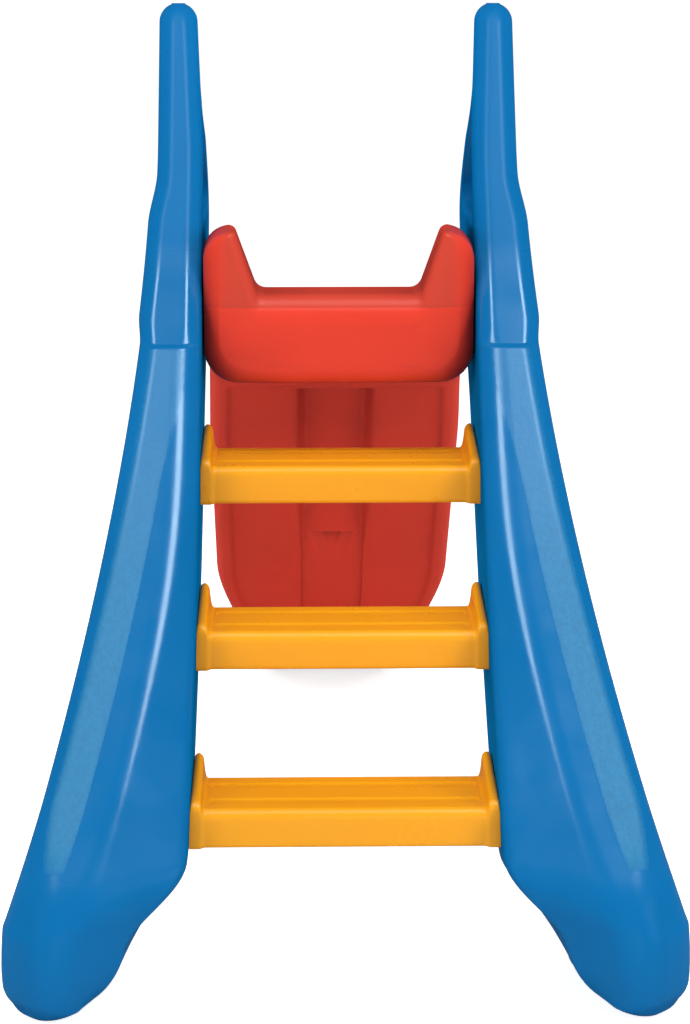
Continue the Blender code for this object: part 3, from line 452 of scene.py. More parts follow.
# Floor, lights and camera; a light is: azimuth, elevation, width, height, share of the key, mirrored, lit
FLOOR_SIZE = 60.0
FLOOR_PARTS = 24
FLOOR_DROP = 0.0006
FLOOR_ROUGHNESS = 0.9
FLOOR_SEEN = 0.90
FLOOR_GLOW = 0.75
FLOOR_BOUNCE = 0.80
FLOOR_MIRRORED = 0.12
STRIP_COLOUR = (0.74, 0.94, 1.0)
LIGHT_TARGET = Vector((0.0, -0.3, 0.5))
LIGHT_DISTANCE = 3.4
SOFT_LIGHTS = (
    ("left_strip_light", -38.0, 56.0, 0.60, 1.35, 0.70, True, False),
    ("right_strip_light", 38.0, 56.0, 0.65, 1.35, 1.00, True, False),
    ("left_soft_light", -48.0, 15.0, 1.6, 1.2, 0.60, False, True),
    ("right_soft_light", 46.0, 15.0, 1.0, 1.2, 0.75, False, True),
    ("front_soft_light", 0.0, 2.0, 1.6, 0.6, 0.43, False, True),
    ("top_soft_light", 0.0, 78.0, 2.0, 2.0, 1.80, False, True),
    ("left_rear_light", -118.0, 6.0, 1.2, 0.8, 1.00, False, True),
    ("right_rear_light", 118.0, 6.0, 1.2, 0.8, 1.00, False, True),
)
CAMERA_LENS = 98.3
CAMERA_SENSOR = 36.0
CAMERA_PLACE = (-0.065, -3.99, 1.326)
CAMERA_PITCH = 12.35
CAMERA_YAW = 1.13


# Sections


def smooth(value):
    """Smooth step from 0 to 1."""
    value = min(max(value, 0.0), 1.0)
    return value * value * (3.0 - 2.0 * value)


def ramp(value, low, high):
    return smooth((value - low) / (high - low))


def mix(low, high, share):
    return low + (high - low) * share


def arc(reach):
    """How far a unit circle falls away at this distance from its top."""
    return 1 - math.sqrt(1 - reach ** 2)


def spread(low, high, count):
    """Evenly spaced levels after low, up to and including high."""
    return [low + (high - low) * step / count for step in range(1, count + 1)]


def rounded(corners, steps):
    """Closed outline with an arc at each corner, or one point where the radius is 0: (x, y, radius)."""
    points = []
    count = len(corners)
    for index, (x, y, radius) in enumerate(corners):
        corner = Vector((x, y))
        if radius == 0.0:
            points.append(corner)
            continue
        previous = corners[index - 1]
        following = corners[(index + 1) % count]
        before = Vector(previous[:2]) - corner
        after = Vector(following[:2]) - corner
        half_angle = before.angle(after) / 2
        room = min(before.length / (radius + previous[2]), after.length / (radius + following[2]))
        room = 0.96 * radius * room
        reach = min(radius / math.tan(half_angle), room)
        fitted = reach * math.tan(half_angle)
        inward = (before.normalized() + after.normalized()).normalized()
        centre = corner + inward * (fitted / math.sin(half_angle))
        start = corner + before.normalized() * reach - centre
        turn = math.pi - 2 * half_angle
        sign = 1.0 if before.cross(after) < 0 else -1.0
        for step in range(steps + 1):
            swing = Matrix.Rotation(sign * turn * step / steps, 2)
            points.append(centre + swing @ start)
    return points


def circle_rings(centre, axis, spans, steps):
    """Rings of a turned body: spans are (distance along the axis, radius)."""
    axis = Vector(axis).normalized()
    side = axis.orthogonal().normalized()
    other = axis.cross(side)
    rings = []
    for distance, radius in spans:
        ring = []
        for step in range(steps):
            angle = 2 * math.pi * (step + 0.5) / steps
            around = side * math.cos(angle) + other * math.sin(angle)
            ring.append(Vector(centre) + axis * distance + around * radius)
        rings.append(ring)
    return rings


def rear_y(z):
    """Rear edge of the rails: a rounded toe, then a line that stands up as it climbs."""
    start_z = TOE_MIDDLE + TOE_RADIUS * math.sin(LEAN_FOOT)
    start_y = -LENGTH / 2 + TOE_RADIUS * (1 - math.cos(LEAN_FOOT))
    if z < TOE_MIDDLE:
        return -LENGTH / 2 + TOE_UNDERCUT * arc(1 - z / TOE_MIDDLE)
    if z < start_z:
        return -LENGTH / 2 + TOE_RADIUS - math.sqrt(TOE_RADIUS ** 2 - (z - TOE_MIDDLE) ** 2)
    slope = math.tan(LEAN_FOOT)
    bend = (slope - math.tan(LEAN_TIP)) / (2 * (HEIGHT - start_z))
    climb = z - start_z
    return start_y + slope * climb - bend * climb ** 2


def rail_depth(z):
    """Depth of a rail along Y: foot, leg, side guard beside the platform, handle."""
    depth = mix(FOOT_DEPTH, HEEL_DEPTH, ramp(z, 0.0, HEEL_LEVEL))
    depth += (LEG_DEPTH - HEEL_DEPTH) * ramp(z, HEEL_LEVEL, LEG_LEVEL)
    depth += (GUARD_DEPTH - LEG_DEPTH) * ramp(z, LEG_TOP, GUARD_LEVEL)
    depth += (HANDLE_DEPTH - GUARD_DEPTH) * ramp(z, GUARD_LEVEL, HANDLE_LEVEL)
    return depth


def inner_face(z):
    """Distance of a rail's flat inner face from the middle plane."""
    flare = INNER_FLARE * (1 - min(z, INNER_TOP_LEVEL) / INNER_TOP_LEVEL) ** INNER_POWER
    spread_out = HANDLE_SPREAD * max(z - HANDLE_SPREAD_LEVEL, 0.0) / (HEIGHT - HANDLE_SPREAD_LEVEL)
    return CLEAR_WIDTH / 2 + flare + spread_out


def outer_face(z):
    """Distance of a rail's outer face from the middle plane: handle, shoulder, flare, sole."""
    flare_level = min(max(z, TOE_LEVEL), FLARE_TOP)
    flare = FLARE * (1 - flare_level / FLARE_TOP) ** FLARE_POWER
    shoulder = SHOULDER * (1 - ramp(z, SHOULDER_LOW, SHOULDER_HIGH))
    shoulder -= SWELL * (1 - ramp(z, LEDGE_LEVEL, SWELL_TOP))
    below = max(SOLE_RADIUS - z, 0.0)
    sole = SOLE_RADIUS - math.sqrt(SOLE_RADIUS ** 2 - below ** 2)
    swell = TOE_SWELL * (1 - ramp(z, TOE_BLEND_LOW, TOE_BLEND_HIGH))
    return CLEAR_WIDTH / 2 + HANDLE_THICKNESS + shoulder + flare + swell - sole


def front_thickness(thickness):
    """Thickness of a rail at its front: a thick section narrows towards it."""
    return thickness * (1 - FRONT_NARROWING * ramp(thickness, FRONT_THIN, FRONT_THICK))


def tip_inset(z):
    """How far the section draws in at the rounded tip of the handle."""
    above = min(max(z - (HEIGHT - TIP_RADIUS), 0.0), 0.95 * TIP_RADIUS)
    return TIP_RADIUS - math.sqrt(TIP_RADIUS ** 2 - above ** 2)


def round_off(z, reach, level):
    """Elliptic round from 0 at the given level to the full reach just above the ground."""
    below = max(1 - z / level, 0.0)
    return reach * (1 - math.sqrt(1 - 0.97 * below ** 2))


def heel_tuck(z):
    """How far the front of the foot draws outwards: an S curve down to a rounded sole."""
    return HEEL_TUCK * (1 - ramp(z, HEEL_LOBE_LOW, HEEL_LOBE_HIGH)) + round_off(z, HEEL_ROUND, HEEL_ROUND)


def toe_tuck(z):
    """How far the toe draws outwards: an S curve below the leg, then its own rounded sole."""
    return TOE_TUCK * (1 - ramp(z, TOE_LOBE_LOW, TOE_LOBE_HIGH)) + round_off(z, TOE_ROUND, TOE_ROUND_LEVEL)


def foot_middle():
    """Middle of the flat sole, across the slide."""
    return (inner_face(0.0) + heel_tuck(0.0) + outer_face(0.0)) / 2 + HEEL_ROUND


def lip_y():
    return rear_y(LEDGE_LEVEL) + LIP_SETBACK


def chute_slope():
    """Angle and length of the straight between the crest arc and the run-out arc."""
    across = LENGTH / 2 - lip_y() - PLATFORM - RUNOUT
    drop = SEAT_LEVEL - THICKNESS
    bends = CREST_RADIUS + RUNOUT_RADIUS
    angle = math.atan2(drop - bends, across) + math.asin(bends / math.hypot(across, drop - bends))
    return angle, math.sqrt(across ** 2 + drop ** 2 - 2 * drop * bends)


SLOPE_ANGLE, SLOPE_LENGTH = chute_slope()
SLOPE_START = PLATFORM + CREST_RADIUS * SLOPE_ANGLE
PATH_LENGTH = SLOPE_START + SLOPE_LENGTH + RUNOUT_RADIUS * SLOPE_ANGLE + RUNOUT
TAPER_PLACE = PATH_LENGTH - TAPER_START


def path_point(s):
    """Middle of the sliding surface at distance s from the lip: (y, z, slope angle)."""
    full = SLOPE_ANGLE
    y, z = lip_y(), SEAT_LEVEL
    flat = min(s, PLATFORM)
    y += flat
    turn = min(max(s - PLATFORM, 0.0) / CREST_RADIUS, full)
    y += CREST_RADIUS * math.sin(turn)
    z -= CREST_RADIUS * (1 - math.cos(turn))
    straight = min(max(s - SLOPE_START, 0.0), SLOPE_LENGTH)
    y += straight * math.cos(full)
    z -= straight * math.sin(full)
    back = min(max(s - SLOPE_START - SLOPE_LENGTH, 0.0) / RUNOUT_RADIUS, full)
    y += RUNOUT_RADIUS * (math.sin(full) - math.sin(full - back))
    z -= RUNOUT_RADIUS * (math.cos(full - back) - math.cos(full))
    y += max(s - PATH_LENGTH + RUNOUT, 0.0)
    return y, z, turn - back


def on_chute(s, x, n):
    """World point at distance s along the path, x across, n above the sliding surface."""
    y, z, angle = path_point(s)
    return Vector((x, y + n * math.sin(angle), z + n * math.cos(angle)))


def chute_normal(s):
    angle = path_point(s)[2]
    return Vector((0.0, math.sin(angle), math.cos(angle)))


def chute_half_width(s):
    """Outer half width: as wide as the rails allow, wider past them, then a tapered round tongue."""
    width = inner_face(SEAT_LEVEL) - SIDE_CLEARANCE - LIP_NARROWING * (1 - ramp(s, 0.0, PLATFORM))
    width += CHUTE_SWELL * ramp(s, SLOPE_START + LAP, SEAM - 1.5 * LAP)
    width -= TAPER * ramp(s, TAPER_PLACE, TAPER_PLACE + TAPER_LENGTH)
    into_tongue = max(s - (PATH_LENGTH - TONGUE_LENGTH), 0.0) / TONGUE_LENGTH * min(TONGUE_TIP_SHARE, 0.97)
    return width * (1 - into_tongue ** TONGUE_POWER) ** (1 / TONGUE_POWER)


def chute_drop(s):
    """Thickness below the sliding surface: a deep lip, then the plain double wall."""
    return mix(LIP_DROP, THICKNESS, ramp(s, PLATFORM, SLOPE_START))


def side_height(s):
    height = mix(EAR_HEIGHT, SIDE_HEIGHT, ramp(s, 0.0, SLOPE_START))
    return height + (NOSE_HEIGHT - SIDE_HEIGHT) * ramp(s, TAPER_PLACE, PATH_LENGTH)


def panel_edge(s):
    """Half width of the recessed panel at its outer edge, with round corners at its upper end."""
    into_corner = min(max(PANEL_START + PANEL_CORNER - s, 0.0) / PANEL_CORNER, 1.0)
    corner = PANEL_CORNER * arc(into_corner)
    return chute_half_width(s) - FLANK_DRAFT - PANEL_MARGIN - corner


def faded(s, full, tail):
    """A size of the channel, which fades to its tail."""
    return mix(full, tail, ramp(s, CHANNEL_FADE_START, CHANNEL_FADE_END))


def scoop_depth(s, x, start, length, depth, half):
    """Depth of a tilted round scoop: deepest at its upper end, running out to nothing."""
    if not start <= s <= start + length:
        return 0.0
    radius = (half ** 2 + depth ** 2) / (2 * depth)
    middle = depth * (1 - (s - start) / length)
    return max(middle - radius + math.sqrt(max(radius ** 2 - x ** 2, 0.0)), 0.0)


def underside_marks(s, grow):
    """Distances from the middle at which the underside's section bends, from the outside inwards."""
    share = 1 - 0.6 * min(max(s - SCOOP_START, 0.0) / SCOOP_LENGTH, 1.0)
    scoop = share * (SCOOP_HALF + grow)
    mouth = faded(s, CHANNEL_MOUTH, TAIL_MOUTH) + 0.33 * grow
    edge = max(panel_edge(s) + 0.2 * grow, mouth + 3 * PANEL_WALL)
    floor = min(faded(s, CHANNEL_FLOOR, TAIL_FLOOR), mouth - 0.003) + 0.33 * grow
    return [edge, edge - PANEL_WALL, mouth, floor, 0.85 * scoop, 0.5 * scoop, 0.2 * scoop]


def underside(s, x, grow):
    """How far the underside is pressed in at station s, x from the middle, for a wall grown inwards."""
    ahead = s + grow
    marks = underside_marks(s, grow)
    left = 1 - ramp(ahead, PANEL_END - PANEL_FADE, PANEL_END)
    panel = PANEL_DEPTH * ramp(ahead, PANEL_START, PANEL_START + PANEL_RUN_IN) * left
    channel = faded(ahead, CHANNEL_DEPTH, TAIL_DEPTH)
    channel *= ramp(ahead, CHANNEL_START, CHANNEL_START + CHANNEL_RUN_IN) * left
    depth = panel * ramp(marks[0] - x, 0.0, marks[0] - marks[1])
    depth += channel * ramp(marks[2] - x, 0.0, marks[2] - marks[3])
    near = max(x - grow, 0.0)
    scoop = scoop_depth(ahead, near, SCOOP_START, SCOOP_LENGTH, SCOOP_DEPTH, SCOOP_HALF)
    bowl = scoop_depth(ahead, near, BOWL_START, BOWL_LENGTH, BOWL_DEPTH, BOWL_HALF)
    return depth + max(scoop, bowl)


def underside_stations():
    """Stations where the underside changes."""
    stations = [PANEL_START, PANEL_START + PANEL_RUN_IN, CHANNEL_START, CHANNEL_START + CHANNEL_RUN_IN]
    stations += [PANEL_START + PANEL_CORNER]
    stations += [CHANNEL_FADE_START] + spread(CHANNEL_FADE_START, SCOOP_START - 0.006, 2)
    stations += [SCOOP_START - 0.001, SCOOP_START, BOWL_START - 0.001, BOWL_START]
    stations += [(BOWL_START + CHANNEL_FADE_END) / 2, CHANNEL_FADE_END, SCOOP_START + SCOOP_LENGTH]
    return stations + [PANEL_END - PANEL_FADE, PANEL_END - PANEL_FADE / 2, PANEL_END]


def chute_ring(s, inset, steps):
    """Section of the chute square to its path, drawn in by inset."""
    width = chute_half_width(s)
    shrink = min(width / chute_half_width(PATH_LENGTH - TONGUE_LENGTH), 1.0)
    ear = 1 - ramp(s, 0.5 * PLATFORM, SLOPE_START)
    to_side = max(LIP_SIDE_ROUND - s, 0.0) / LIP_SIDE_ROUND
    side = LIP_SIDE_ROUND * arc(0.95 * to_side)
    rim = mix(RIM_WIDTH, EAR_WIDTH, ear) * mix(RIM_END_SHARE, 1, shrink)
    span = rim + (WALL_SPAN - RIM_WIDTH) * shrink * side_height(s) / SIDE_HEIGHT
    height = side_height(s) - inset
    draft = FLANK_DRAFT * ramp(s, PLATFORM, SLOPE_START)
    roll = max(LIP_ROLL - s, 0.0)
    rolled = LIP_ROLL - math.sqrt(LIP_ROLL ** 2 - roll ** 2)
    floor = -rolled - inset
    bottom = -chute_drop(s) + 0.5 * rolled + inset
    corner = mix(BOTTOM_CORNER, LIP_CORNER, 1 - ramp(s, 0.0, SLOPE_START))
    rim_round = 0.48 * rim
    inner_round = mix(rim_round, EAR_INNER_RADIUS, ear)
    floor_round = mix(FLOOR_RADIUS, EAR_FLOOR_RADIUS, ear)
    outer_round = mix(rim_round, EAR_OUTER_RADIUS, ear)
    right = (
        (width - span + 0.6 * inset, floor, floor_round * shrink + inset),
        (width - rim + inset, height, max(inner_round - inset, 0.002)),
        (width - side - inset, height - EAR_SLANT * ear, max(outer_round - inset, 0.002)),
        (width - side - draft - inset, bottom, max(corner - inset, 0.004)),
    )
    left = [(-x, n, radius) for x, n, radius in reversed(right)]
    outline = rounded(list(right) + left, steps)
    flat = width - side - draft - 1.1 * corner
    marks = underside_marks(s, inset)
    fit = min(flat / marks[0], 1.0)
    places = [marks[0]]
    for near, far in zip(marks, marks[1:] + [0.0]):
        places += spread(near, far, UNDERSIDE_PARTS)
    half = [(fit * x, bottom + underside(s, x, inset)) for x in places]
    mirrored = [(-x, n) for x, n in reversed(half) if x > 0.0]
    pressed = [Vector(point) for point in half + mirrored]
    turn = len(outline) // 2
    section = outline[:turn] + pressed + outline[turn:]
    return [on_chute(s, point.x, point.y) for point in section]


def tread_z(number):
    return FIRST_TREAD + STEP_RISE * number


def step_rear(number):
    return rear_y(tread_z(number)) + STEP_SETBACK


def step_end(z):
    """Distance of a step's end face from the middle plane."""
    return inner_face(z) - GAP


def step_bolt_place(number):
    return step_rear(number) + TREAD_DEPTH / 2, tread_z(number) - STEP_FACE / 2


def chute_bolt_place(station):
    point = on_chute(station, 0.0, -INSERT_DROP)
    return point.y, point.z


def bolt_places():
    """Every bolt on one rail: (label, y, z, what it goes into)."""
    places = []
    for number, label in enumerate(STEP_LABELS):
        places.append((label, *step_bolt_place(number), "step"))
    for station, label in zip(INSERT_STATIONS, INSERT_LABELS):
        places.append((label, *chute_bolt_place(station), "chute"))
    return places


def flank_x(y, z):
    """Outer face of a rail at a point of its side: it slants in towards the front."""
    inner, outer = inner_face(z), outer_face(z)
    rear = rear_y(z) + BAND_MARGIN
    share = (y - rear) / (rear_y(z) + rail_depth(z) - rear)
    return outer + (inner + front_thickness(outer - inner) - outer) * share


def cap_x(y, z):
    """Outer end of a pocket cap, a little inside the lowest edge of the pocket's mouth."""
    below = flank_x(y, z - POCKET_RADIUS)
    above = flank_x(y + POCKET_RADIUS, z + POCKET_RADIUS)
    return min(below, above) - CAP_RECESS


def flange_proud(distance):
    """How far the step's ends stand proud of its middle, behind, in front and below."""
    return FLANGE_PROUD * (1 - ramp(distance, 0.9 * FLANGE, 1.5 * FLANGE))


def lap_screw_place(x):
    return on_chute(SEAM - LAP / 2, x, PANEL_DEPTH - THICKNESS)


# Settings shown in the sidebar


def length_setting(name, description, default):
    return bpy.props.FloatProperty(name=name, description=description, default=default, unit="LENGTH")


def count_setting(name, description, default, low, high):
    return bpy.props.IntProperty(name=name, description=description, default=default, min=low, max=high)


def colour_setting(name, default):
    return bpy.props.FloatVectorProperty(
        name=name, description=f"Colour of the {name.lower()}", subtype="COLOR", size=3, default=default)


def strength_setting(name, description, default, **kind):
    return bpy.props.FloatProperty(name=name, description=description, default=default, min=0.0, **kind)


class KidsSlideSizes(bpy.types.PropertyGroup):
    """Sizes of the rounding and surface detail that the frame leaves out."""

    corner_steps: count_setting("Corner steps", "Segments in each rounded corner", 8, 3, 16)
    grip_fillet: length_setting("Grip fillet", "Radius round the handle opening", 0.009)
    pocket_fillet: length_setting("Pocket fillet", "Radius round each bolt pocket", 0.0022)
    seam_round: length_setting("Seam round", "Radius on each side of the joint of the chute", 0.0020)
    grain_size: length_setting("Grain size", "Size of the grain on the rails' rear strips", 0.0016)
    thread_pitch: length_setting("Thread pitch", "Pitch of the bolts' threads", 0.00125)
    knurl_count: count_setting("Knurl count", "Ridges round each threaded insert", 28, 8, 60)


class KidsSlideColours(bpy.types.PropertyGroup):
    """Colours and roughness of the materials, and the strength of the lights."""

    rail: colour_setting("Rails", (0.0015, 0.148, 0.395))
    chute: colour_setting("Chute", (0.78, 0.045, 0.020))
    step: colour_setting("Steps", (0.95, 0.385, 0.007))
    cap: colour_setting("Caps", (0.0025, 0.115, 0.340))
    rail_roughness: strength_setting("Rail roughness", "Roughness of the rails", 0.17, max=1.0)
    key_light: strength_setting("Key light", "Strength that the soft lights share out", 40.0, unit="POWER")
    ambient: strength_setting("Ambient", "Strength of the white surroundings", 0.35)
    reflected: strength_setting("Reflected", "Strength of the surroundings where they are mirrored", 0.03)


# Meshes


def plain_piece(name, bm, material):
    bmesh.ops.recalc_face_normals(bm, faces=bm.faces)
    mesh = bpy.data.meshes.new(name)
    bm.to_mesh(mesh)
    bm.free()
    mesh.materials.append(material)
    piece = bpy.data.objects.new(name, mesh)
    bpy.context.scene.collection.objects.link(piece)
    return soften(piece)


def soften(piece):
    """Smooth shading that keeps the sharper edges crisp."""
    piece.data.shade_smooth()
    piece.data.set_sharp_from_angle(angle=SHARP_ANGLE)
    return piece


def add_rings(bm, rings):
    layers = [[bm.verts.new(point) for point in ring] for ring in rings]
    count = len(rings[0])
    for lower, upper in zip(layers, layers[1:]):
        for index in range(count):
            following = (index + 1) % count
            bm.faces.new((lower[index], lower[following], upper[following], upper[index]))
    bm.faces.new(layers[0])
    bm.faces.new(layers[-1])


def skin(name, bodies, material):
    """Closed bodies in one mesh, each a list of rings with equal point counts."""
    bm = bmesh.new()
    for rings in bodies:
        add_rings(bm, rings)
    return plain_piece(name, bm, material)


def final_mesh(piece):
    """Plain mesh that a piece's modifiers give."""
    bpy.context.view_layer.update()
    return bpy.data.meshes.new_from_object(piece.evaluated_get(bpy.context.evaluated_depsgraph_get()))


def carve(piece, bodies):
    """Cut closed bodies out of a piece."""
    tool = skin(piece.name + "_tool", bodies, piece.data.materials[0])
    modifier = piece.modifiers.new("carve", "BOOLEAN")
    modifier.operation = "DIFFERENCE"
    modifier.solver = "EXACT"
    modifier.object = tool
    mesh = final_mesh(piece)
    piece.modifiers.clear()
    piece.data = mesh
    bpy.data.objects.remove(tool, do_unlink=True)
    return soften(piece)


def subdivide_ring(points, steps, divisions):
    """Extra points on the straight runs between rounded corners of steps + 1 points each."""
    result = []
    for corner, pieces in enumerate(divisions):
        first = corner * (steps + 1)
        result += points[first:first + steps + 1]
        low = points[first + steps]
        high = points[(first + steps + 1) % len(points)]
        result += [low.lerp(high, part / pieces) for part in range(1, pieces)]
    return result


def fillet_step(radius, angle):
    """How far a fillet lies from its two tangents at an angle of its quarter turn."""
    return radius * (1 - math.cos(angle)), radius * (1 - math.sin(angle))


# Nodes


def feed(tree, node, inputs):
    """Give a node its inputs by name or number: sockets are linked, numbers and colours are set."""
    for key, source in inputs.items():
        if isinstance(source, bpy.types.NodeSocket):
            tree.links.new(source, node.inputs[key])
        else:
            node.inputs[key].default_value = source


def add_node(tree, kind, output, inputs, **settings):
    """One output of a new node with these inputs and settings."""
    node = tree.nodes.new(kind)
    for key, value in settings.items():
        setattr(node, key, value)
    feed(tree, node, inputs)
    return node.outputs[output]


def maths(tree, operation, first, second=0.0):
    return add_node(tree, "ShaderNodeMath", "Value", {0: first, 1: second}, operation=operation)


def attribute(tree, name):
    return add_node(tree, "ShaderNodeAttribute", "Fac", {}, attribute_name=name)


def light_path(tree, question):
    return add_node(tree, "ShaderNodeLightPath", question, {})


def object_place(tree):
    return add_node(tree, "ShaderNodeTexCoord", "Object", {})


def axis_value(tree, axis):
    """One of the object coordinates, in metres."""
    return add_node(tree, "ShaderNodeSeparateXYZ", axis, {"Vector": object_place(tree)})


def noise(tree, kind, stretch=None):
    """Noise in object space; kind is cycles in a metre, detail, roughness; stretch is a factor per axis."""
    scale, detail, roughness = kind
    place = object_place(tree)
    if stretch:
        place = add_node(tree, "ShaderNodeMapping", "Vector", {"Vector": place, "Scale": stretch})
    inputs = {"Vector": place, "Scale": scale, "Detail": detail, "Roughness": roughness}
    return add_node(tree, "ShaderNodeTexNoise", "Fac", inputs)


def remap(tree, value, low, high, from_low=0.3, from_high=0.7):
    """A value brought from one range to another; without a range it is taken for noise."""
    inputs = {"Value": value, "From Min": from_low, "From Max": from_high, "To Min": low, "To Max": high}
    return add_node(tree, "ShaderNodeMapRange", "Result", inputs)


def blend_values(tree, factor, low, high):
    return add_node(tree, "ShaderNodeMix", 0, {"Factor": factor, 2: low, 3: high}, data_type="FLOAT")


def blend_colours(tree, factor, low, high):
    low, high = (end if isinstance(end, bpy.types.NodeSocket) else (*end, 1.0) for end in (low, high))
    return add_node(tree, "ShaderNodeMix", 2, {"Factor": factor, 6: low, 7: high}, data_type="RGBA")


def bump(tree, height, distance, strength, normal=None):
    inputs = {"Height": height, "Distance": distance, "Strength": strength}
    if normal:
        inputs["Normal"] = normal
    return add_node(tree, "ShaderNodeBump", "Normal", inputs)


def painted_nook_shade(tree, reach, depth):
    """Painted shade: 1 on open faces, falling to 1 - depth in nooks, where the colour is darkened as if
    shade fell there.
    """
    exposed = add_node(tree, "ShaderNodeAmbientOcclusion", "AO", {"Distance": reach}, samples=PAINTED_SHADE_SAMPLES)
    return remap(tree, exposed, 1.0 - depth, 1.0, *PAINTED_SHADE_RANGE)


# Materials


def new_material(name):
    material = bpy.data.materials.new(name)
    material.use_nodes = True
    tree = material.node_tree
    return material, tree, tree.nodes["Principled BSDF"]


def moulded_plastic(name, colour, roughness, peel, flow=(1.0, 1.0, 1.0), painted_shade=None):
    """Polyethylene: slight colour drift, uneven gloss, fine orange peel, and painted shade in nooks when
    asked for. Returns what a mask needs too.
    """
    material, tree, shader = new_material(name)
    darker = [DRIFT_DARKER * value for value in colour]
    lighter = [min(DRIFT_LIGHTER * value + DRIFT_LIFT, 1.0) for value in colour]
    base = blend_colours(tree, remap(tree, noise(tree, DRIFT_NOISE, flow), 0.0, 1.0), darker, lighter)
    # Painted shade: the colour darkens in nooks that ambient occlusion finds
    if painted_shade:
        base = blend_colours(tree, painted_nook_shade(tree, *painted_shade), BLACK, base)
    gloss = remap(tree, noise(tree, GLOSS_NOISE), roughness - GLOSS_DRIFT, roughness + GLOSS_DRIFT)
    normal = bump(tree, noise(tree, PEEL_NOISE), PEEL_DEPTH, peel)
    normal = bump(tree, noise(tree, SAG_NOISE, flow), SAG_DEPTH, SAG_STRENGTH, normal)
    feed(tree, shader, {"Base Color": base, "Roughness": gloss, "Normal": normal, "IOR": PLASTIC_IOR})
    return material, tree, shader, base, gloss, normal


def rail_material(sizes, colours):
    """Rail plastic with the grained satin strip, masked by the mesh attribute grain; the strip's colour is
    lifted by a painted sheen.
    """
    parts = moulded_plastic("rail_blue", colours.rail, colours.rail_roughness, RAIL_PEEL, RAIL_FLOW)
    material, tree, shader, base, gloss, normal = parts
    ragged = remap(tree, noise(tree, RAGGED_NOISE), -STRIP_RAGGED, STRIP_RAGGED)
    border = maths(tree, "ADD", attribute(tree, "grain"), ragged)
    level = axis_value(tree, "Z")
    faded = remap(tree, level, 1.0, STRIP_TOP_SHARE, STRIP_FULL_LEVEL, STRIP_PALE_LEVEL)
    mask = maths(tree, "MULTIPLY", remap(tree, border, 0.0, 1.0, -STRIP_SOFT, STRIP_SOFT), faded)
    # Painted sheen: the strip's colour is lifted where its rough grain catches light
    painted_sheen_colour = [value + lift for value, lift in zip(colours.rail, STRIP_PAINTED_SHEEN)]
    duller = [SATIN_DULLER * value for value in painted_sheen_colour]
    stipple = remap(tree, noise(tree, STIPPLE_NOISE, STIPPLE_STRETCH), 0.0, 1.0)
    foot = remap(tree, level, 1.0, 0.0, FOOT_MATT_LOW, FOOT_MATT_HIGH)
    handle = remap(tree, level, 0.0, 1.0, HANDLE_EDGE_LOW, HANDLE_EDGE_HIGH)
    matt = maths(tree, "MAXIMUM", foot, handle)
    gloss = blend_values(tree, matt, gloss, MATT_ROUGHNESS)
    specular = blend_values(tree, matt, RAIL_SPECULAR, MATT_SPECULAR)
    lumps = remap(tree, noise(tree, (LUMP_SHARE / sizes.grain_size, *LUMP_NOISE)), 0.0, 1.0)
    grain = noise(tree, (1.0 / sizes.grain_size, *GRAIN_NOISE))
    height = blend_values(tree, mask, 0.0, blend_values(tree, lumps, grain, 1.0))
    feed(tree, shader, {
        "Base Color": blend_colours(tree, mask, base, blend_colours(tree, stipple, duller, painted_sheen_colour)),
        "Roughness": blend_values(tree, mask, gloss, SATIN_ROUGHNESS),
        "Specular IOR Level": blend_values(tree, attribute(tree, "inside"), specular, 0.0),
        "Normal": bump(tree, height, GRAIN_DEPTH, GRAIN_STRENGTH, normal),
    })
    return material


def chute_material(sizes, colours):
    """Chute plastic with painted shade in its nooks and a painted sheen that makes the flat face of the lip
    and the ears paler, with a crease below it.
    """
    parts = moulded_plastic("chute_red", colours.chute, CHUTE_ROUGHNESS, CHUTE_PEEL, CHUTE_FLOW, CHUTE_PAINTED_SHADE)
    material, tree, shader, base, _, normal = parts
    level = axis_value(tree, "Z")
    crease = SEAT_LEVEL - CREASE_DROP
    near = remap(tree, axis_value(tree, "Y"), 1.0, 0.0, lip_y() + FACE_NEAR, lip_y() + FACE_FAR)
    across = maths(tree, "ABSOLUTE", axis_value(tree, "X"))
    inside = remap(tree, across, 1.0, 0.0, FACE_HALF - FACE_SOFT_IN, FACE_HALF + FACE_SOFT_OUT)
    above = remap(tree, level, 0.0, 1.0, crease - CREASE_SOFT, crease + CREASE_SOFT)
    face = maths(tree, "MULTIPLY", maths(tree, "MULTIPLY", near, inside), above)
    # Painted sheen on the lip's face above the crease, darkened by painted shade in nooks
    painted_sheen = blend_colours(tree, painted_nook_shade(tree, *CHUTE_PAINTED_SHADE), BLACK, LIP_FACE_PAINTED_SHEEN)
    away = maths(tree, "ABSOLUTE", maths(tree, "SUBTRACT", level, crease))
    groove = remap(tree, away, 0.0, 1.0, 0.0, CREASE_WIDTH)
    height = maths(tree, "MAXIMUM", groove, maths(tree, "SUBTRACT", 1.0, near))
    feed(tree, shader, {
        "Base Color": blend_colours(tree, face, base, painted_sheen),
        "Normal": bump(tree, height, CREASE_DEPTH, 1.0, normal),
        "Specular IOR Level": CHUTE_SPECULAR,
    })
    return material


def step_material(sizes, colours):
    # The steps' colour carries painted shade in their nooks
    return moulded_plastic("step_yellow", colours.step, STEP_ROUGHNESS, STEP_PEEL, STEP_FLOW, STEP_PAINTED_SHADE)[0]


def cap_material(sizes, colours):
    return moulded_plastic("cap_blue", colours.cap, CAP_ROUGHNESS, CAP_PEEL)[0]


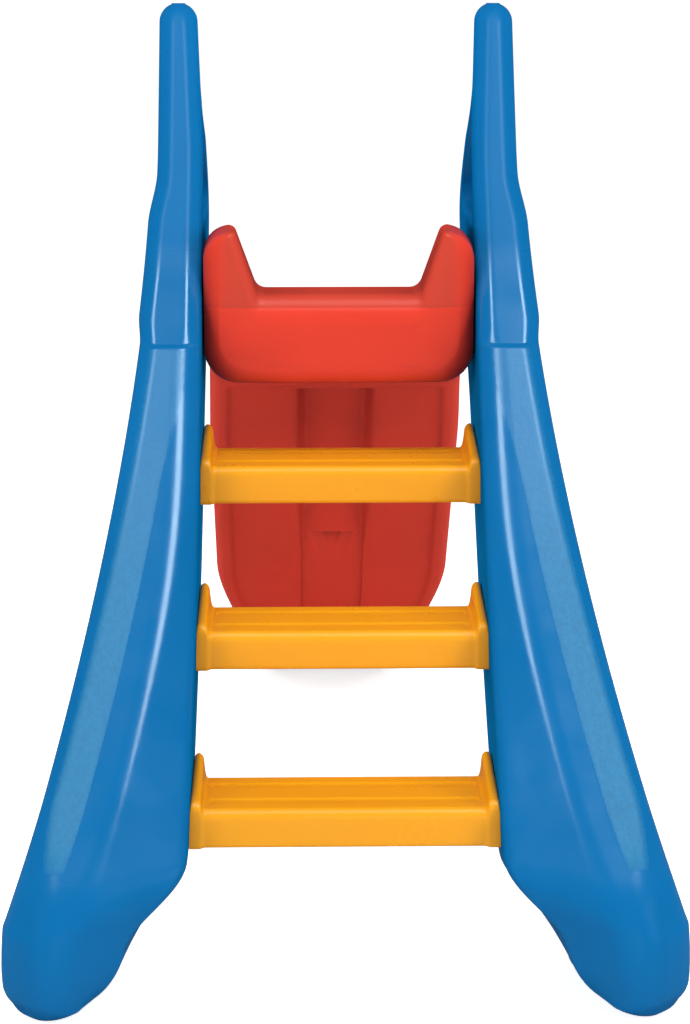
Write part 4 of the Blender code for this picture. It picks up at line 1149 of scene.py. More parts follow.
def metal(name, colour, roughness):
    """Turned metal with fine marks across its axis."""
    material, tree, shader = new_material(name)
    tone = remap(tree, noise(tree, TURNED_NOISE, TURNED_STRETCH), METAL_DARKER, 1.0)
    darker = [METAL_DARKER * value for value in colour]
    feed(tree, shader, {
        "Base Color": blend_colours(tree, tone, darker, colour),
        "Roughness": remap(tree, noise(tree, WORN_NOISE), roughness - WORN_LESS, roughness + WORN_MORE),
        "Normal": bump(tree, noise(tree, MARKED_NOISE, TURNED_STRETCH), MARK_DEPTH, MARK_STRENGTH),
        "Metallic": 1.0,
    })
    return material


def steel_material(sizes, colours):
    return metal("zinc_steel", STEEL_COLOUR, STEEL_ROUGHNESS)


def brass_material(sizes, colours):
    return metal("brass_insert", BRASS_COLOUR, BRASS_ROUGHNESS)


# Groups of pieces


class PieceGroup:
    """What the operators share: one material, one slot, and each piece in place of its own node."""

    def execute(self, context):
        sizes = context.scene.kids_slide_sizes
        material = bpy.data.materials.get(self.material_name)
        if material is None:
            material = self.make_material(sizes, context.scene.kids_slide_colours)
        for node, piece in self.pieces(sizes, material):
            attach(piece, "root")
            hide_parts(node)
        return {"FINISHED"}


# Rails


def fine_rail_levels():
    """Levels of a rail's sections: closer at the toe, the ledge and the tip."""
    levels = [TOE_MIDDLE * (step / TOE_STEPS) ** TOE_CROWDING for step in range(TOE_STEPS + 1)]
    low = TOE_MIDDLE
    for high, count in RAIL_LEVELS:
        levels += spread(low, high, count)
        low = high
    turns = [step / TIP_STEPS * math.pi / 2 for step in range(1, TIP_STEPS + 1)]
    return levels + [HEIGHT - fillet_step(TIP_RADIUS, turn)[1] for turn in turns]


def fine_rail_ring(z, side, steps):
    """Level section of a rail as in the frame, with a broad soft ridge and rounder rear edges."""
    draw_in = tip_inset(z)
    inner, outer = inner_face(z), outer_face(z)
    thickness = outer - inner
    spare = thickness - BAND_WIDTH - BAND_MARGIN - BAND_MIN_CHAMFER
    chamfer = BAND_MIN_CHAMFER + (spare + math.sqrt(spare ** 2 + BAND_BLEND ** 2)) / 2
    chamfer = min(chamfer, CHAMFER_MOST * thickness)
    chamfer_depth = CHAMFER_SLOPE * chamfer + CHAMFER_DEPTH
    rear = rear_y(z)
    front = min(rear, rear_y(max(z, TOE_MIDDLE))) + rail_depth(z) - draw_in
    band = rear + LEDGE_DEPTH * ramp(z, LEDGE_LEVEL, LEDGE_LEVEL + LEDGE_DEPTH) + draw_in
    toe = 1 - ramp(z, 0.0, TOE_LOBE_HIGH)
    soft = 1 - ramp(z, TOE_BLEND_LOW, TOE_BLEND_HIGH)
    below = 1 - ramp(z, LEDGE_LEVEL - RIDGE_FADE_BELOW, LEDGE_LEVEL + RIDGE_FADE_ABOVE)
    ridge_round = mix(mix(SOFT_EDGE, RIDGE_ROUND, max(below, soft)), TOE_EDGE_RADIUS, soft)
    edge = mix(SOFT_EDGE, TOE_EDGE_RADIUS, soft)
    edge = mix(edge, HANDLE_EDGE, ramp(z, HANDLE_EDGE_LOW, HANDLE_EDGE_HIGH))
    ridge_round = min(ridge_round, edge) if z > HANDLE_EDGE_LOW else ridge_round
    flank = inner + toe_tuck(z)
    least_margin = MARGIN_SHARE * BAND_MARGIN
    ridge = min(max(inner + chamfer, flank + TOE_CHAMFER * toe), outer - least_margin)
    spare_width = max(outer - ridge - least_margin, 0.0)
    margin = BAND_MARGIN + min(TOE_MARGIN * soft, 0.5 * spare_width)
    heel = inner + heel_tuck(z)
    front_outer = max(inner + front_thickness(thickness), heel + HEEL_LEAST)
    corners = (
        (heel + draw_in, front, FRONT_RADIUS),
        (flank + draw_in, rear + chamfer_depth + draw_in, SOFT_EDGE),
        (ridge, band, ridge_round),
        (outer - margin, band, edge),
        (outer - draw_in, rear + margin + draw_in, edge),
        (front_outer - draw_in, front, FRONT_RADIUS),
    )
    ring = subdivide_ring(rounded(corners, steps), steps, RAIL_DIVISIONS)
    return [Vector((side * point.x, point.y, z)) for point in ring]


def grip_cutter(side, fillet):
    """Cutter for the handle opening that opens out at both faces in a quarter round."""
    def ring(grow, face, offset):
        rear_low = rear_y(GRIP_BOTTOM) + GRIP_BAR - grow
        front_low = rear_y(GRIP_BOTTOM) + rail_depth(GRIP_BOTTOM) - GRIP_BAR + grow
        rear_high = rear_y(GRIP_TOP) + GRIP_BAR - grow
        corners = (
            (rear_low, GRIP_BOTTOM - grow, GRIP_RADIUS + grow),
            (front_low, GRIP_BOTTOM - grow, GRIP_RADIUS + grow),
            (rear_high + GRIP_RADIUS + 2 * grow, GRIP_TOP + grow, GRIP_RADIUS / 2 + grow),
            (rear_high, GRIP_TOP + grow, GRIP_RADIUS / 2 + grow),
        )
        outline = subdivide_ring(rounded(corners, GRIP_CORNER_STEPS), GRIP_CORNER_STEPS, GRIP_DIVISIONS)
        return [Vector((side * (face(point.x, point.y) + offset), point.x, point.y)) for point in outline]

    def inside(_, z):
        return inner_face(z)

    rounds = [fillet_step(fillet, (1 - turn) * FILLET_SWEEP) for turn in GRIP_TURNS]
    rings = [ring(fillet, inside, -GRIP_OVERCUT)]
    rings += [ring(grow, inside, depth) for grow, depth in rounds]
    rings += [ring(grow, flank_x, -depth) for grow, depth in reversed(rounds)]
    return rings + [ring(fillet, flank_x, OVERCUT)]


def pocket_cutters(side, fillet):
    """Bolt pockets with a small round at the mouth, and the bolts' bores."""
    bodies = []
    mouth = POCKET_RADIUS + POCKET_FLARE
    bore = BOLT_RADIUS + BOLT_CLEARANCE
    for _, y, z, _ in bolt_places():
        seat = inner_face(z) + SEAT_THICKNESS
        reach = flank_x(y, z) - seat
        spans = [(0.0, POCKET_RADIUS)]
        for turn in POCKET_TURNS:
            widened, depth = fillet_step(fillet, turn * math.pi / 2)
            spans.append((reach - depth, mouth + widened))
        spans.append((reach + OVERCUT, mouth + fillet))
        place, axis = (side * seat, y, z), (side, 0, 0)
        bodies.append(circle_rings(place, axis, spans, POCKET_STEPS))
        spans = ((-SEAT_THICKNESS - OVERCUT, bore), (BORE_OVERLAP, bore))
        bodies.append(circle_rings(place, axis, spans, BORE_STEPS))
    return bodies


def mark_grain(mesh):
    """Mesh attributes: grain is the distance inside the strip's border, inside is 1 on the inner faces."""
    grain = mesh.attributes.new("grain", "FLOAT", "POINT")
    inside = mesh.attributes.new("inside", "FLOAT", "POINT")
    for index, vertex in enumerate(mesh.vertices):
        x, y, z = abs(vertex.co.x), vertex.co.y, vertex.co.z
        edge = outer_face(z) - BAND_MARGIN
        width = STRIP_WIDTH + STRIP_WIDENING * ramp(z, STRIP_WIDENING_START, LEDGE_LEVEL)
        across = min(x - edge + width, edge + STRIP_OVERLAP - x)
        along = min(z - STRIP_LOW, LEDGE_LEVEL - z)
        on_rear = STRIP_OVERLAP - abs(y - rear_y(z))
        grain.data[index].value = max(min(across, along, on_rear), -STRIP_WIDTH)
        inside.data[index].value = 1.0 if abs(x - inner_face(z)) < INSIDE_REACH else 0.0


class KIDS_SLIDE_OT_rails(PieceGroup, bpy.types.Operator):
    """Build both side rails with their handle openings, bolt pockets and grained strips"""

    bl_idname = "kids_slide.rails"
    bl_label = "Build rails"
    slot = "blue_plastic"
    material_name = "rail_blue"
    make_material = staticmethod(rail_material)

    def pieces(self, sizes, material):
        for side, side_name in SIDES:
            rings = [fine_rail_ring(z, side, sizes.corner_steps) for z in fine_rail_levels()]
            rail = skin(f"{side_name}_rail_skin", [rings], material)
            drain = (side * foot_middle(), rear_y(0.0) + FOOT_DEPTH / 2, 0.0)
            spans = ((-OVERCUT, DRAIN_RADIUS), (OVERCUT, DRAIN_RADIUS))
            cutters = [circle_rings(drain, (0, 0, 1), spans, DRAIN_STEPS)]
            cutters += pocket_cutters(side, sizes.pocket_fillet)
            cutters.append(grip_cutter(side, sizes.grip_fillet))
            carve(rail, cutters)
            mark_grain(rail.data)
            yield f"{side_name}_rail", rail


# Steps


def flute_dip(y, groove):
    """Depth of the two flutes at distance y from the step's rear edge."""
    dip = 0.0
    for centre in (TREAD_DEPTH / 2 + GROOVE_OFFSET, TREAD_DEPTH / 2 - GROOVE_OFFSET):
        reach = abs(y - centre) / (GROOVE_WIDTH / 2)
        dip = max(dip, groove * (1 - ramp(reach, GROOVE_FLAT, 1.0)))
    return dip


def fine_tread_outline(groove, ear, proud):
    """Closed outline of a step across its depth, with flutes on top."""
    corners = (
        (-proud, -STEP_FACE - proud, STEP_LOWER_ROUND),
        (TREAD_DEPTH + proud, -STEP_FACE - proud, STEP_LOWER_ROUND),
        (TREAD_DEPTH + proud, ear, STEP_NOSE),
        (-proud, EAR_REAR_SHARE * ear, STEP_NOSE),
    )
    steps = STEP_CORNER_STEPS
    outline = subdivide_ring(rounded(corners, steps), steps, STEP_DIVISIONS)
    turn = 3 * (steps + 1) + sum(STEP_DIVISIONS[:3]) - 3
    far, near = outline[turn - 1], outline[turn]
    top = [far.lerp(near, part / TREAD_PARTS) for part in range(1, TREAD_PARTS)]
    top = [Vector((point.x, point.y - flute_dip(point.x, groove))) for point in top]
    return outline[:turn] + top + outline[turn:]


def ear_height(share):
    """Height of the flange at a share of its width: a round top, a steep inner side and a fillet."""
    if share < EAR_TOP:
        return EAR_RISE * (0.70 + 0.30 * math.sqrt(1 - (1 - share / EAR_TOP) ** 2))
    if share < EAR_FOOT:
        return EAR_RISE * (EAR_FILLET + 0.34 * math.sqrt(1 - ((share - EAR_TOP) / 0.55) ** 2))
    fall = min((share - EAR_FOOT) / 0.63, 1.0)
    return EAR_FILLET * EAR_RISE * (1 - fall) ** 4


def fine_step_stations():
    """(distance from the end, ear height, groove share) along one half of a step."""
    shares = [0.0] + spread(0.0, EAR_TOP, 8) + spread(EAR_TOP, EAR_FOOT, 12)
    shares += spread(EAR_FOOT, 1.6, 14) + spread(1.6, 2.0, 4)
    stations = [(share * FLANGE, ear_height(share), ramp(share, 1.55, 1.95)) for share in shares]
    return stations + [(distance, 0.0, 1.0) for distance in spread(0.05, 0.14, 6)]


def step_pockets(number):
    """Hollows below a step, between its ends and the ribs."""
    base_z, base_y = tread_z(number), step_rear(number)
    half = step_end(step_bolt_place(number)[1]) - FLANGE
    width = (2 * half - RIB_COUNT * RIB) / (RIB_COUNT + 1)
    pockets = []
    for index in range(RIB_COUNT + 1):
        low_x = -half + index * (width + RIB)
        pocket = []
        for z, draw in STEP_POCKET_LEVELS:
            left, right = low_x + draw, low_x + width - draw
            rear, front = STEP_SKIN + draw, TREAD_DEPTH - STEP_SKIN - draw
            places = ((left, rear), (right, rear), (right, front), (left, front))
            corners = [(*place, STEP_POCKET_CORNER) for place in places]
            pocket.append([Vector((p.x, base_y + p.y, base_z + z)) for p in rounded(corners, 4)])
        pockets.append(pocket)
    return pockets


class KIDS_SLIDE_OT_steps(PieceGroup, bpy.types.Operator):
    """Build the three flanged steps, ribbed below"""

    bl_idname = "kids_slide.steps"
    bl_label = "Build steps"
    slot = "yellow_plastic"
    material_name = "step_yellow"
    make_material = staticmethod(step_material)

    def pieces(self, sizes, material):
        half = fine_step_stations()
        stations = [(-1, *station) for station in half] + [(1, *station) for station in reversed(half)]
        for number, label in enumerate(STEP_LABELS):
            rings = []
            for side, distance, ear, groove in stations:
                ring = []
                for point in fine_tread_outline(groove * GROOVE_DEPTH, ear, flange_proud(distance)):
                    z = tread_z(number) + point.y
                    ring.append(Vector((side * (step_end(z) - distance), step_rear(number) + point.x, z)))
                rings.append(ring)
            step = skin(f"step_{label}_skin", [rings], material)
            yield f"step_{label}", carve(step, step_pockets(number))


# Chute


def fine_stations(start, end):
    """Stations 6 mm apart, closer at the changes of the underside."""
    marks = underside_stations()
    for mark in (PANEL_START, CHANNEL_START, SCOOP_START, BOWL_START):
        marks += [mark + offset for offset in MARK_OFFSETS]
    marks = {round(mark, 5) for mark in marks if start < mark < end}
    count = max(2, round((end - start) / STATION_STEP))
    marks |= {round(value, 5) for value in spread(start, end, count)}
    stations = [start]
    for mark in sorted(marks):
        if mark - stations[-1] > STATION_LEAST:
            stations.append(mark)
    stations[-1] = end
    return stations


def end_rings(station, radius, direction, steps, turns):
    """Rings of a rounded end, from the end face inwards."""
    rings = []
    for turn in range(turns):
        inset, depth = fillet_step(radius, END_SWEEP * (1 - turn / turns))
        rings.append(chute_ring(station + direction * depth, inset, steps))
    return rings


def bowed(ring, s):
    """Section near the lip with its sides set back, so that the lip turns round towards the rails."""
    share = 1 - ramp(s, 0.0, LIP_BOW_REACH)
    start = chute_half_width(0.0) - LIP_BOW_WIDTH
    result = []
    for point in ring:
        reach = min(max(abs(point.x) - start, 0.0) / LIP_BOW_WIDTH, LIP_BOW_MOST)
        back = LIP_BOW_DEPTH * arc(reach)
        result.append(point + Vector((0.0, back * share, 0.0)))
    return result


class KIDS_SLIDE_OT_chute(PieceGroup, bpy.types.Operator):
    """Build the two halves of the chute with their rolled edges and pressed underside"""

    bl_idname = "kids_slide.chute"
    bl_label = "Build chute"
    slot = "red_plastic"
    material_name = "chute_red"
    make_material = staticmethod(chute_material)

    def pieces(self, sizes, material):
        steps, edge = sizes.corner_steps, sizes.seam_round
        rings = [bowed(ring, 0.0) for ring in end_rings(0.0, LIP_ROUND, 1, steps, 10)]
        for s in fine_stations(LIP_ROUND, SEAM - edge):
            ring = chute_ring(s, 0.0, steps)
            rings.append(bowed(ring, s) if s < LIP_BOW_REACH else ring)
        rings += reversed(end_rings(SEAM, edge, -1, steps, 4))
        yield "upper_chute", skin("upper_chute_skin", [rings], material)
        start = SEAM + GAP
        rings = end_rings(start, edge, 1, steps, 4)
        rings += [chute_ring(s, 0.0, steps) for s in fine_stations(start + edge, PATH_LENGTH - END_ROUND)]
        rings += reversed(end_rings(PATH_LENGTH, END_ROUND, -1, steps, 8))
        yield "lower_chute", skin("lower_chute_skin", [rings], material)


# Fasteners


def grow_thread(tree, given):
    """Helical ridge that climbs along Z from the origin; its crest lies at the given radius."""
    half = maths(tree, "MULTIPLY", given["Pitch"], 0.5)
    path_radius = maths(tree, "SUBTRACT", given["Radius"], half)
    spiral = add_node(tree, "GeometryNodeCurveSpiral", "Curve", {
        "Resolution": THREAD_STEPS,
        "Rotations": given["Turns"],
        "Start Radius": path_radius,
        "End Radius": path_radius,
        "Height": maths(tree, "MULTIPLY", given["Pitch"], given["Turns"]),
    })
    ridge = add_node(tree, "GeometryNodeCurvePrimitiveCircle", "Curve", {"Resolution": 4, "Radius": half})
    inputs = {"Curve": spiral, "Profile Curve": ridge, "Fill Caps": True}
    return add_node(tree, "GeometryNodeCurveToMesh", "Mesh", inputs)


def grow_knurl(tree, given):
    """Straight ridges round Z, from the origin up."""
    inputs = {"Vertices": given["Count"], "Radius": given["Radius"]}
    ring = add_node(tree, "GeometryNodeMeshCircle", "Mesh", inputs)
    share = maths(tree, "DIVIDE", 2.0 * math.pi, given["Count"])
    width = maths(tree, "MULTIPLY", maths(tree, "MULTIPLY", share, given["Radius"]), KNURL_SHARE)
    inputs = {"Vertices": 4, "Depth": given["Length"], "Radius": width}
    ridge = add_node(tree, "GeometryNodeMeshCylinder", "Mesh", inputs)
    index = add_node(tree, "GeometryNodeInputIndex", "Index", {})
    turn = add_node(tree, "ShaderNodeCombineXYZ", "Vector", {"Z": maths(tree, "MULTIPLY", share, index)})
    inputs = {"Points": ring, "Instance": ridge, "Rotation": turn}
    return add_node(tree, "GeometryNodeInstanceOnPoints", "Instances", inputs)


GROWTHS = {
    "thread": (grow_thread, {"Radius": "Float", "Pitch": "Float", "Turns": "Float"}),
    "knurl": (grow_knurl, {"Radius": "Float", "Length": "Float", "Count": "Int"}),
}


def growth_tree(name):
    """The Geometry Nodes tree of that name, made when it is first wanted."""
    if name in bpy.data.node_groups:
        return bpy.data.node_groups[name]
    grow, kinds = GROWTHS[name]
    tree = bpy.data.node_groups.new(name, "GeometryNodeTree")
    for label, kind in {**kinds, "Material": "Material"}.items():
        tree.interface.new_socket(label, in_out="INPUT", socket_type="NodeSocket" + kind)
    tree.interface.new_socket("Geometry", in_out="OUTPUT", socket_type="NodeSocketGeometry")
    given = tree.nodes.new("NodeGroupInput").outputs
    real = add_node(tree, "GeometryNodeRealizeInstances", "Geometry", {"Geometry": grow(tree, given)})
    inputs = {"Geometry": real, "Material": given["Material"]}
    painted = add_node(tree, "GeometryNodeSetMaterial", "Geometry", inputs)
    feed(tree, tree.nodes.new("NodeGroupOutput"), {"Geometry": painted})
    return tree


def grown_mesh(name, values):
    """Plain mesh that a Geometry Nodes tree gives for these named inputs."""
    tree = growth_tree(name)
    holder = bpy.data.objects.new(name, bpy.data.meshes.new(name))
    bpy.context.scene.collection.objects.link(holder)
    modifier = holder.modifiers.new("growth", "NODES")
    modifier.node_group = tree
    for item in tree.interface.items_tree:
        if item.item_type == "SOCKET" and item.in_out == "INPUT":
            modifier[item.identifier] = values[item.name]
    mesh = final_mesh(holder)
    bpy.data.objects.remove(holder, do_unlink=True)
    return mesh


def add_grown(piece, name, place, axis, start, **values):
    """Add what a tree grows to a piece: its Z lies on the axis, from start along it."""
    mesh = grown_mesh(name, {**values, "Material": piece.data.materials[0]})
    turn = Vector(axis).to_track_quat("Z", "Y").to_matrix().to_4x4()
    mesh.transform(Matrix.Translation(Vector(place) + start * Vector(axis)) @ turn)
    bm = bmesh.new()
    bm.from_mesh(piece.data)
    bm.from_mesh(mesh)
    bm.to_mesh(piece.data)
    bm.free()
    piece.data.set_sharp_from_angle(angle=SHARP_ANGLE)


def head_spans(radius, head_radius, head_height):
    """(distance, radius) over a button head, from under it to its top."""
    spans = [(0.0, radius), (0.0, 0.96 * head_radius), (0.06 * head_height, head_radius)]
    for turn in range(HEAD_TURNS + 1):
        angle = turn / HEAD_TURNS * HEAD_SWEEP
        reach = head_radius * (0.42 + 0.58 * math.cos(angle))
        spans.append((head_height * (0.22 + 0.78 * math.sin(angle) / math.sin(HEAD_SWEEP)), reach))
    return spans


def screw_piece(name, place, axis, sizes, material):
    """Button-head screw: shank, radius, head radius, head height, socket, thread length and pitch."""
    shank, radius, head_radius, head_height, socket, length, pitch = sizes
    core = radius - THREAD_SHARE * pitch
    spans = [(-shank, 0.72 * core), (-shank + 0.3 * core, core), (-shank + length, core)]
    spans += [(-shank + length + 0.5 * pitch, radius), (-FASTENER_ROUND, radius)]
    spans += head_spans(radius + FASTENER_ROUND, head_radius, head_height)
    piece = skin(name, [circle_rings(place, axis, spans, TURNED_STEPS)], material)
    recess = (
        (0.45 * head_height, socket),
        (head_height - FASTENER_ROUND, socket),
        (head_height + FASTENER_OVERCUT, socket + FLARED),
    )
    carve(piece, [circle_rings(place, axis, recess, 6)])
    turns = (length - 0.6 * pitch) / pitch
    add_grown(piece, "thread", place, axis, 0.3 * pitch - shank, Radius=radius, Pitch=pitch, Turns=turns)
    return piece


def nut_piece(name, side, y, z, pitch, material):
    """Hexagon nut with chamfered ends and a threaded bore."""
    base = step_end(z) - FLANGE - GAP - NUT_HEIGHT
    corner = NUT_FLATS / math.sqrt(3)
    spans = (
        (0.0, NUT_END_SHARE * corner),
        (NUT_CHAMFER, corner),
        (NUT_HEIGHT - NUT_CHAMFER, corner),
        (NUT_HEIGHT, NUT_END_SHARE * corner),
    )
    place, axis = (side * base, y, z), (side, 0, 0)
    nut = skin(name, [circle_rings(place, axis, spans, 6)], material)
    bore = BOLT_RADIUS + GAP
    spans = (
        (-FASTENER_OVERCUT, bore + FLARED),
        (BORE_CHAMFER, bore),
        (NUT_HEIGHT - BORE_CHAMFER, bore),
        (NUT_HEIGHT + FASTENER_OVERCUT, bore + FLARED),
    )
    carve(nut, [circle_rings(place, axis, spans, TURNED_STEPS)])
    fine = 0.5 * pitch
    turns = (NUT_HEIGHT - 2 * NUT_THREAD_START) / fine
    add_grown(nut, "thread", place, axis, NUT_THREAD_START, Radius=bore + fine, Pitch=fine, Turns=turns)
    return nut


def insert_piece(name, side, station, count, material):
    """Knurled brass barrel: two bands of ridges with a plain groove between them."""
    y, z = chute_bolt_place(station)
    place, axis = (side * chute_half_width(station), y, z), (side, 0, 0)
    core = INSERT_RADIUS - KNURL_DEPTH
    spans = [(-share * INSERT_LENGTH, factor * core) for share, factor in INSERT_PROFILE]
    spans += [(-BORE_CHAMFER, core), (-INSERT_LIP, INSERT_RADIUS), (0.0, INSERT_RADIUS)]
    insert = skin(name, [circle_rings(place, axis, spans, INSERT_STEPS)], material)
    bore = BOLT_RADIUS + GAP
    spans = (
        (-INSERT_LENGTH - FASTENER_OVERCUT, bore),
        (-BORE_CHAMFER, bore),
        (FASTENER_OVERCUT, bore + INSERT_FLARED),
    )
    carve(insert, [circle_rings(place, axis, spans, TURNED_STEPS)])
    for middle in KNURL_MIDDLES:
        start = middle * INSERT_LENGTH
        length = KNURL_LENGTH * INSERT_LENGTH
        add_grown(insert, "knurl", place, axis, start, Radius=core, Length=length, Count=count)
    return insert


def cap_piece(name, side, y, z, material):
    """Domed cap with a rounded rim and a small gate mark."""
    face = cap_x(y, z)
    reach = flank_x(y, z) - inner_face(z) + OVERCUT - SEAT_THICKNESS
    share = (face - CAP_THICKNESS - inner_face(z) - SEAT_THICKNESS) / reach
    radius = POCKET_RADIUS + POCKET_FLARE * max(share, 0.0) - GAP
    spans = [(-CAP_THICKNESS, radius - CAP_CHAMFER), (-CAP_THICKNESS + CAP_CHAMFER, radius)]
    spans.append((-CAP_RIM, radius))
    for turn in range(1, CAP_TURNS + 1):
        angle = turn / CAP_TURNS * math.pi / 2
        spans.append((-CAP_RIM + CAP_ROUND * math.sin(angle), radius - CAP_INSET * (1 - math.cos(angle))))
    for level in range(1, CAP_TURNS + 1):
        share = level / CAP_TURNS
        spans.append((-CAP_DOME * (1 - share) ** 2, (radius - CAP_INSET) * (1 - share) + CAP_ROUND * share))
    spans += [(-GATE_DEPTH, GATE_RADIUS), (-GATE_DEPTH, 0.0002)]
    return skin(name, [circle_rings((side * face, y, z), (side, 0, 0), spans, CAP_STEPS)], material)


class KIDS_SLIDE_OT_bolts(PieceGroup, bpy.types.Operator):
    """Build the threaded bolts, the nuts in the steps and the screws of the chute's joint"""

    bl_idname = "kids_slide.bolts"
    bl_label = "Build bolts and nuts"
    slot = "fastener_steel"
    material_name = "zinc_steel"
    make_material = staticmethod(steel_material)

    def pieces(self, sizes, material):
        pitch = sizes.thread_pitch
        for side, side_name in SIDES:
            for label, y, z, target in bolt_places():
                shank = SEAT_THICKNESS + INSERT_LENGTH - BOLT_STICK_OUT
                if target == "step":
                    shank = SEAT_THICKNESS + 2 * GAP + FLANGE + NUT_HEIGHT + BOLT_STICK_OUT
                    name = f"step_nut_{label}_{side_name}"
                    yield name, nut_piece(name + "_detail", side, y, z, pitch, material)
                screw = (shank, BOLT_RADIUS, HEAD_RADIUS, HEAD_HEIGHT, SOCKET_RADIUS, BOLT_THREAD, pitch)
                place = (side * (inner_face(z) + SEAT_THICKNESS + GAP), y, z)
                name = f"{target}_bolt_{label}_{side_name}"
                yield name, screw_piece(name + "_detail", place, (side, 0, 0), screw, material)
        normal = chute_normal(SEAM - LAP / 2)
        for side, side_name in SIDES:
            place = lap_screw_place(side * LAP_SCREW_X) - GAP * normal
            name = f"lap_screw_{side_name}"
            yield name, screw_piece(name + "_detail", place, -normal, LAP_SCREW, material)


class KIDS_SLIDE_OT_inserts(PieceGroup, bpy.types.Operator):
    """Build the knurled inserts in the chute's sides"""

    bl_idname = "kids_slide.inserts"
    bl_label = "Build inserts"
    slot = "insert_brass"
    material_name = "brass_insert"
    make_material = staticmethod(brass_material)

    def pieces(self, sizes, material):
        for side, side_name in SIDES:
            for station, label in zip(INSERT_STATIONS, INSERT_LABELS):
                name = f"chute_insert_{label}_{side_name}"
                yield name, insert_piece(name + "_detail", side, station, sizes.knurl_count, material)


class KIDS_SLIDE_OT_caps(PieceGroup, bpy.types.Operator):
    """Build the caps in the mouths of the bolt pockets"""

    bl_idname = "kids_slide.caps"
    bl_label = "Build caps"
    slot = "cap_plastic"
    material_name = "cap_blue"
    make_material = staticmethod(cap_material)

    def pieces(self, sizes, material):
        for side, side_name in SIDES:
            for label, y, z, target in bolt_places():
                name = f"pocket_cap_{target}_{label}_{side_name}"
                yield name, cap_piece(name + "_detail", side, y, z, material)


# Stage


def soft_light(name, azimuth, elevation, width, height, power, mirrored, lit):
    """Area light that is mirrored by the gloss, lights the matt colour, or both."""
    data = bpy.data.lights.new(name, "AREA")
    data.shape = "RECTANGLE"
    data.size = width
    data.size_y = height
    data.energy = power
    data.color = WHITE[:3] if lit else STRIP_COLOUR
    around, up = math.radians(azimuth), math.radians(elevation)
    away = Vector((math.sin(around) * math.cos(up), -math.cos(around) * math.cos(up), math.sin(up)))
    light = bpy.data.objects.new(name, data)
    light.location = LIGHT_TARGET + LIGHT_DISTANCE * away
    light.rotation_euler = (LIGHT_TARGET - light.location).to_track_quat("-Z", "Y").to_euler()
    light.visible_glossy = mirrored
    light.visible_diffuse = lit
    bpy.context.scene.collection.objects.link(light)


def floor_material():
    """Pale floor: white with a soft shadow to the camera, duller to the light that it bounces."""
    material, tree, shader = new_material("studio_floor")
    seen = light_path(tree, "Is Camera Ray")
    bounced = blend_values(tree, light_path(tree, "Is Glossy Ray"), FLOOR_BOUNCE, FLOOR_MIRRORED)
    feed(tree, shader, {
        "Roughness": FLOOR_ROUGHNESS,
        "Specular IOR Level": 0.0,
        "Base Color": blend_values(tree, seen, bounced, FLOOR_SEEN),
        "Emission Color": WHITE,
        "Emission Strength": blend_values(tree, seen, 0.0, FLOOR_GLOW),
    })
    return material


def studio_world(ambient, reflected):
    """White to the camera, softer on the object, and darker still where it is mirrored."""
    world = bpy.data.worlds.new("studio")
    bpy.context.scene.world = world
    world.use_nodes = True
    tree = world.node_tree
    lit = blend_values(tree, light_path(tree, "Is Glossy Ray"), ambient, reflected)
    strength = blend_values(tree, light_path(tree, "Is Camera Ray"), lit, 1.0)
    feed(tree, tree.nodes["Background"], {"Color": WHITE, "Strength": strength})


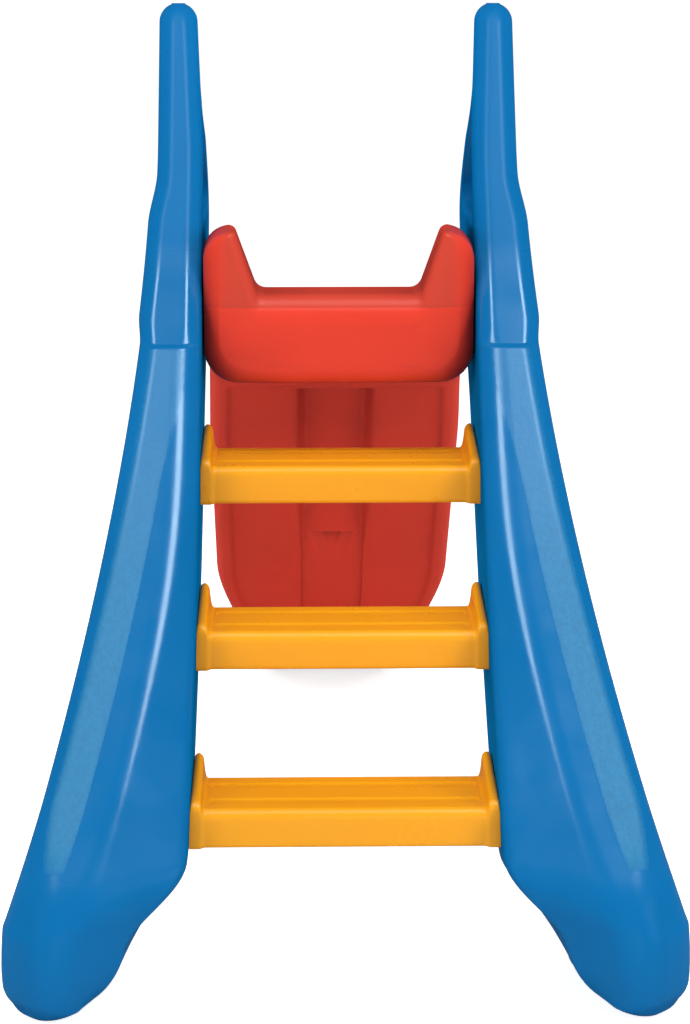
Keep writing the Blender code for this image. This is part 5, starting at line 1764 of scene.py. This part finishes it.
class KIDS_SLIDE_OT_stage(bpy.types.Operator):
    """Set up the white floor, the soft lights and the camera"""

    bl_idname = "kids_slide.stage"
    bl_label = "Build stage"

    def execute(self, context):
        scene = context.scene
        colours = scene.kids_slide_colours
        bm = bmesh.new()
        bmesh.ops.create_grid(bm, x_segments=FLOOR_PARTS, y_segments=FLOOR_PARTS, size=FLOOR_SIZE)
        bmesh.ops.translate(bm, verts=bm.verts, vec=(0.0, 0.0, -FLOOR_DROP))
        plain_piece("floor", bm, floor_material())
        studio_world(colours.ambient, colours.reflected)
        for name, azimuth, elevation, width, height, share, mirrored, lit in SOFT_LIGHTS:
            power = share * colours.key_light
            soft_light(name, azimuth, elevation, width, height, power, mirrored, lit)
        camera = bpy.data.cameras.new("photo_camera")
        camera.lens = CAMERA_LENS
        camera.sensor_width = CAMERA_SENSOR
        holder = bpy.data.objects.new("photo_camera", camera)
        holder.location = CAMERA_PLACE
        holder.rotation_euler = (math.radians(90.0 - CAMERA_PITCH), 0.0, -math.radians(CAMERA_YAW))
        scene.collection.objects.link(holder)
        scene.camera = holder
        scene.view_settings.view_transform = "Standard"
        return {"FINISHED"}


class KIDS_SLIDE_PT_panel(bpy.types.Panel):
    """Sidebar panel with the sizes, the colours and one button for each group of pieces"""

    bl_idname = "KIDS_SLIDE_PT_panel"
    bl_label = "Kids slide"
    bl_space_type = "VIEW_3D"
    bl_region_type = "UI"
    bl_category = "Kids slide"

    def draw(self, context):
        for settings in (context.scene.kids_slide_sizes, context.scene.kids_slide_colours):
            box = self.layout.box()
            for key in settings.__annotations__:
                box.prop(settings, key)
        for operator in OPERATORS:
            self.layout.operator(operator.bl_idname)


OPERATORS = (
    KIDS_SLIDE_OT_rails,
    KIDS_SLIDE_OT_steps,
    KIDS_SLIDE_OT_chute,
    KIDS_SLIDE_OT_bolts,
    KIDS_SLIDE_OT_inserts,
    KIDS_SLIDE_OT_caps,
    KIDS_SLIDE_OT_stage,
)
CLASSES = (KidsSlideSizes, KidsSlideColours, *OPERATORS, KIDS_SLIDE_PT_panel)


def register():
    for item in CLASSES:
        bpy.utils.register_class(item)
    bpy.types.Scene.kids_slide_sizes = bpy.props.PointerProperty(type=KidsSlideSizes)
    bpy.types.Scene.kids_slide_colours = bpy.props.PointerProperty(type=KidsSlideColours)


def unregister():
    del bpy.types.Scene.kids_slide_colours
    del bpy.types.Scene.kids_slide_sizes
    for item in reversed(CLASSES):
        bpy.utils.unregister_class(item)


def clear_defaults():
    for old in list(bpy.data.objects):
        if old.name in ("Cube", "Light", "Camera"):
            bpy.data.objects.remove(old, do_unlink=True)


def main():
    register()
    clear_defaults()
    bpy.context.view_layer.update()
    bpy.ops.kids_slide.rails()
    bpy.ops.kids_slide.steps()
    bpy.ops.kids_slide.chute()
    bpy.ops.kids_slide.bolts()
    bpy.ops.kids_slide.inserts()
    bpy.ops.kids_slide.caps()
    bpy.ops.kids_slide.stage()


if __name__ == "__main__":
    main()
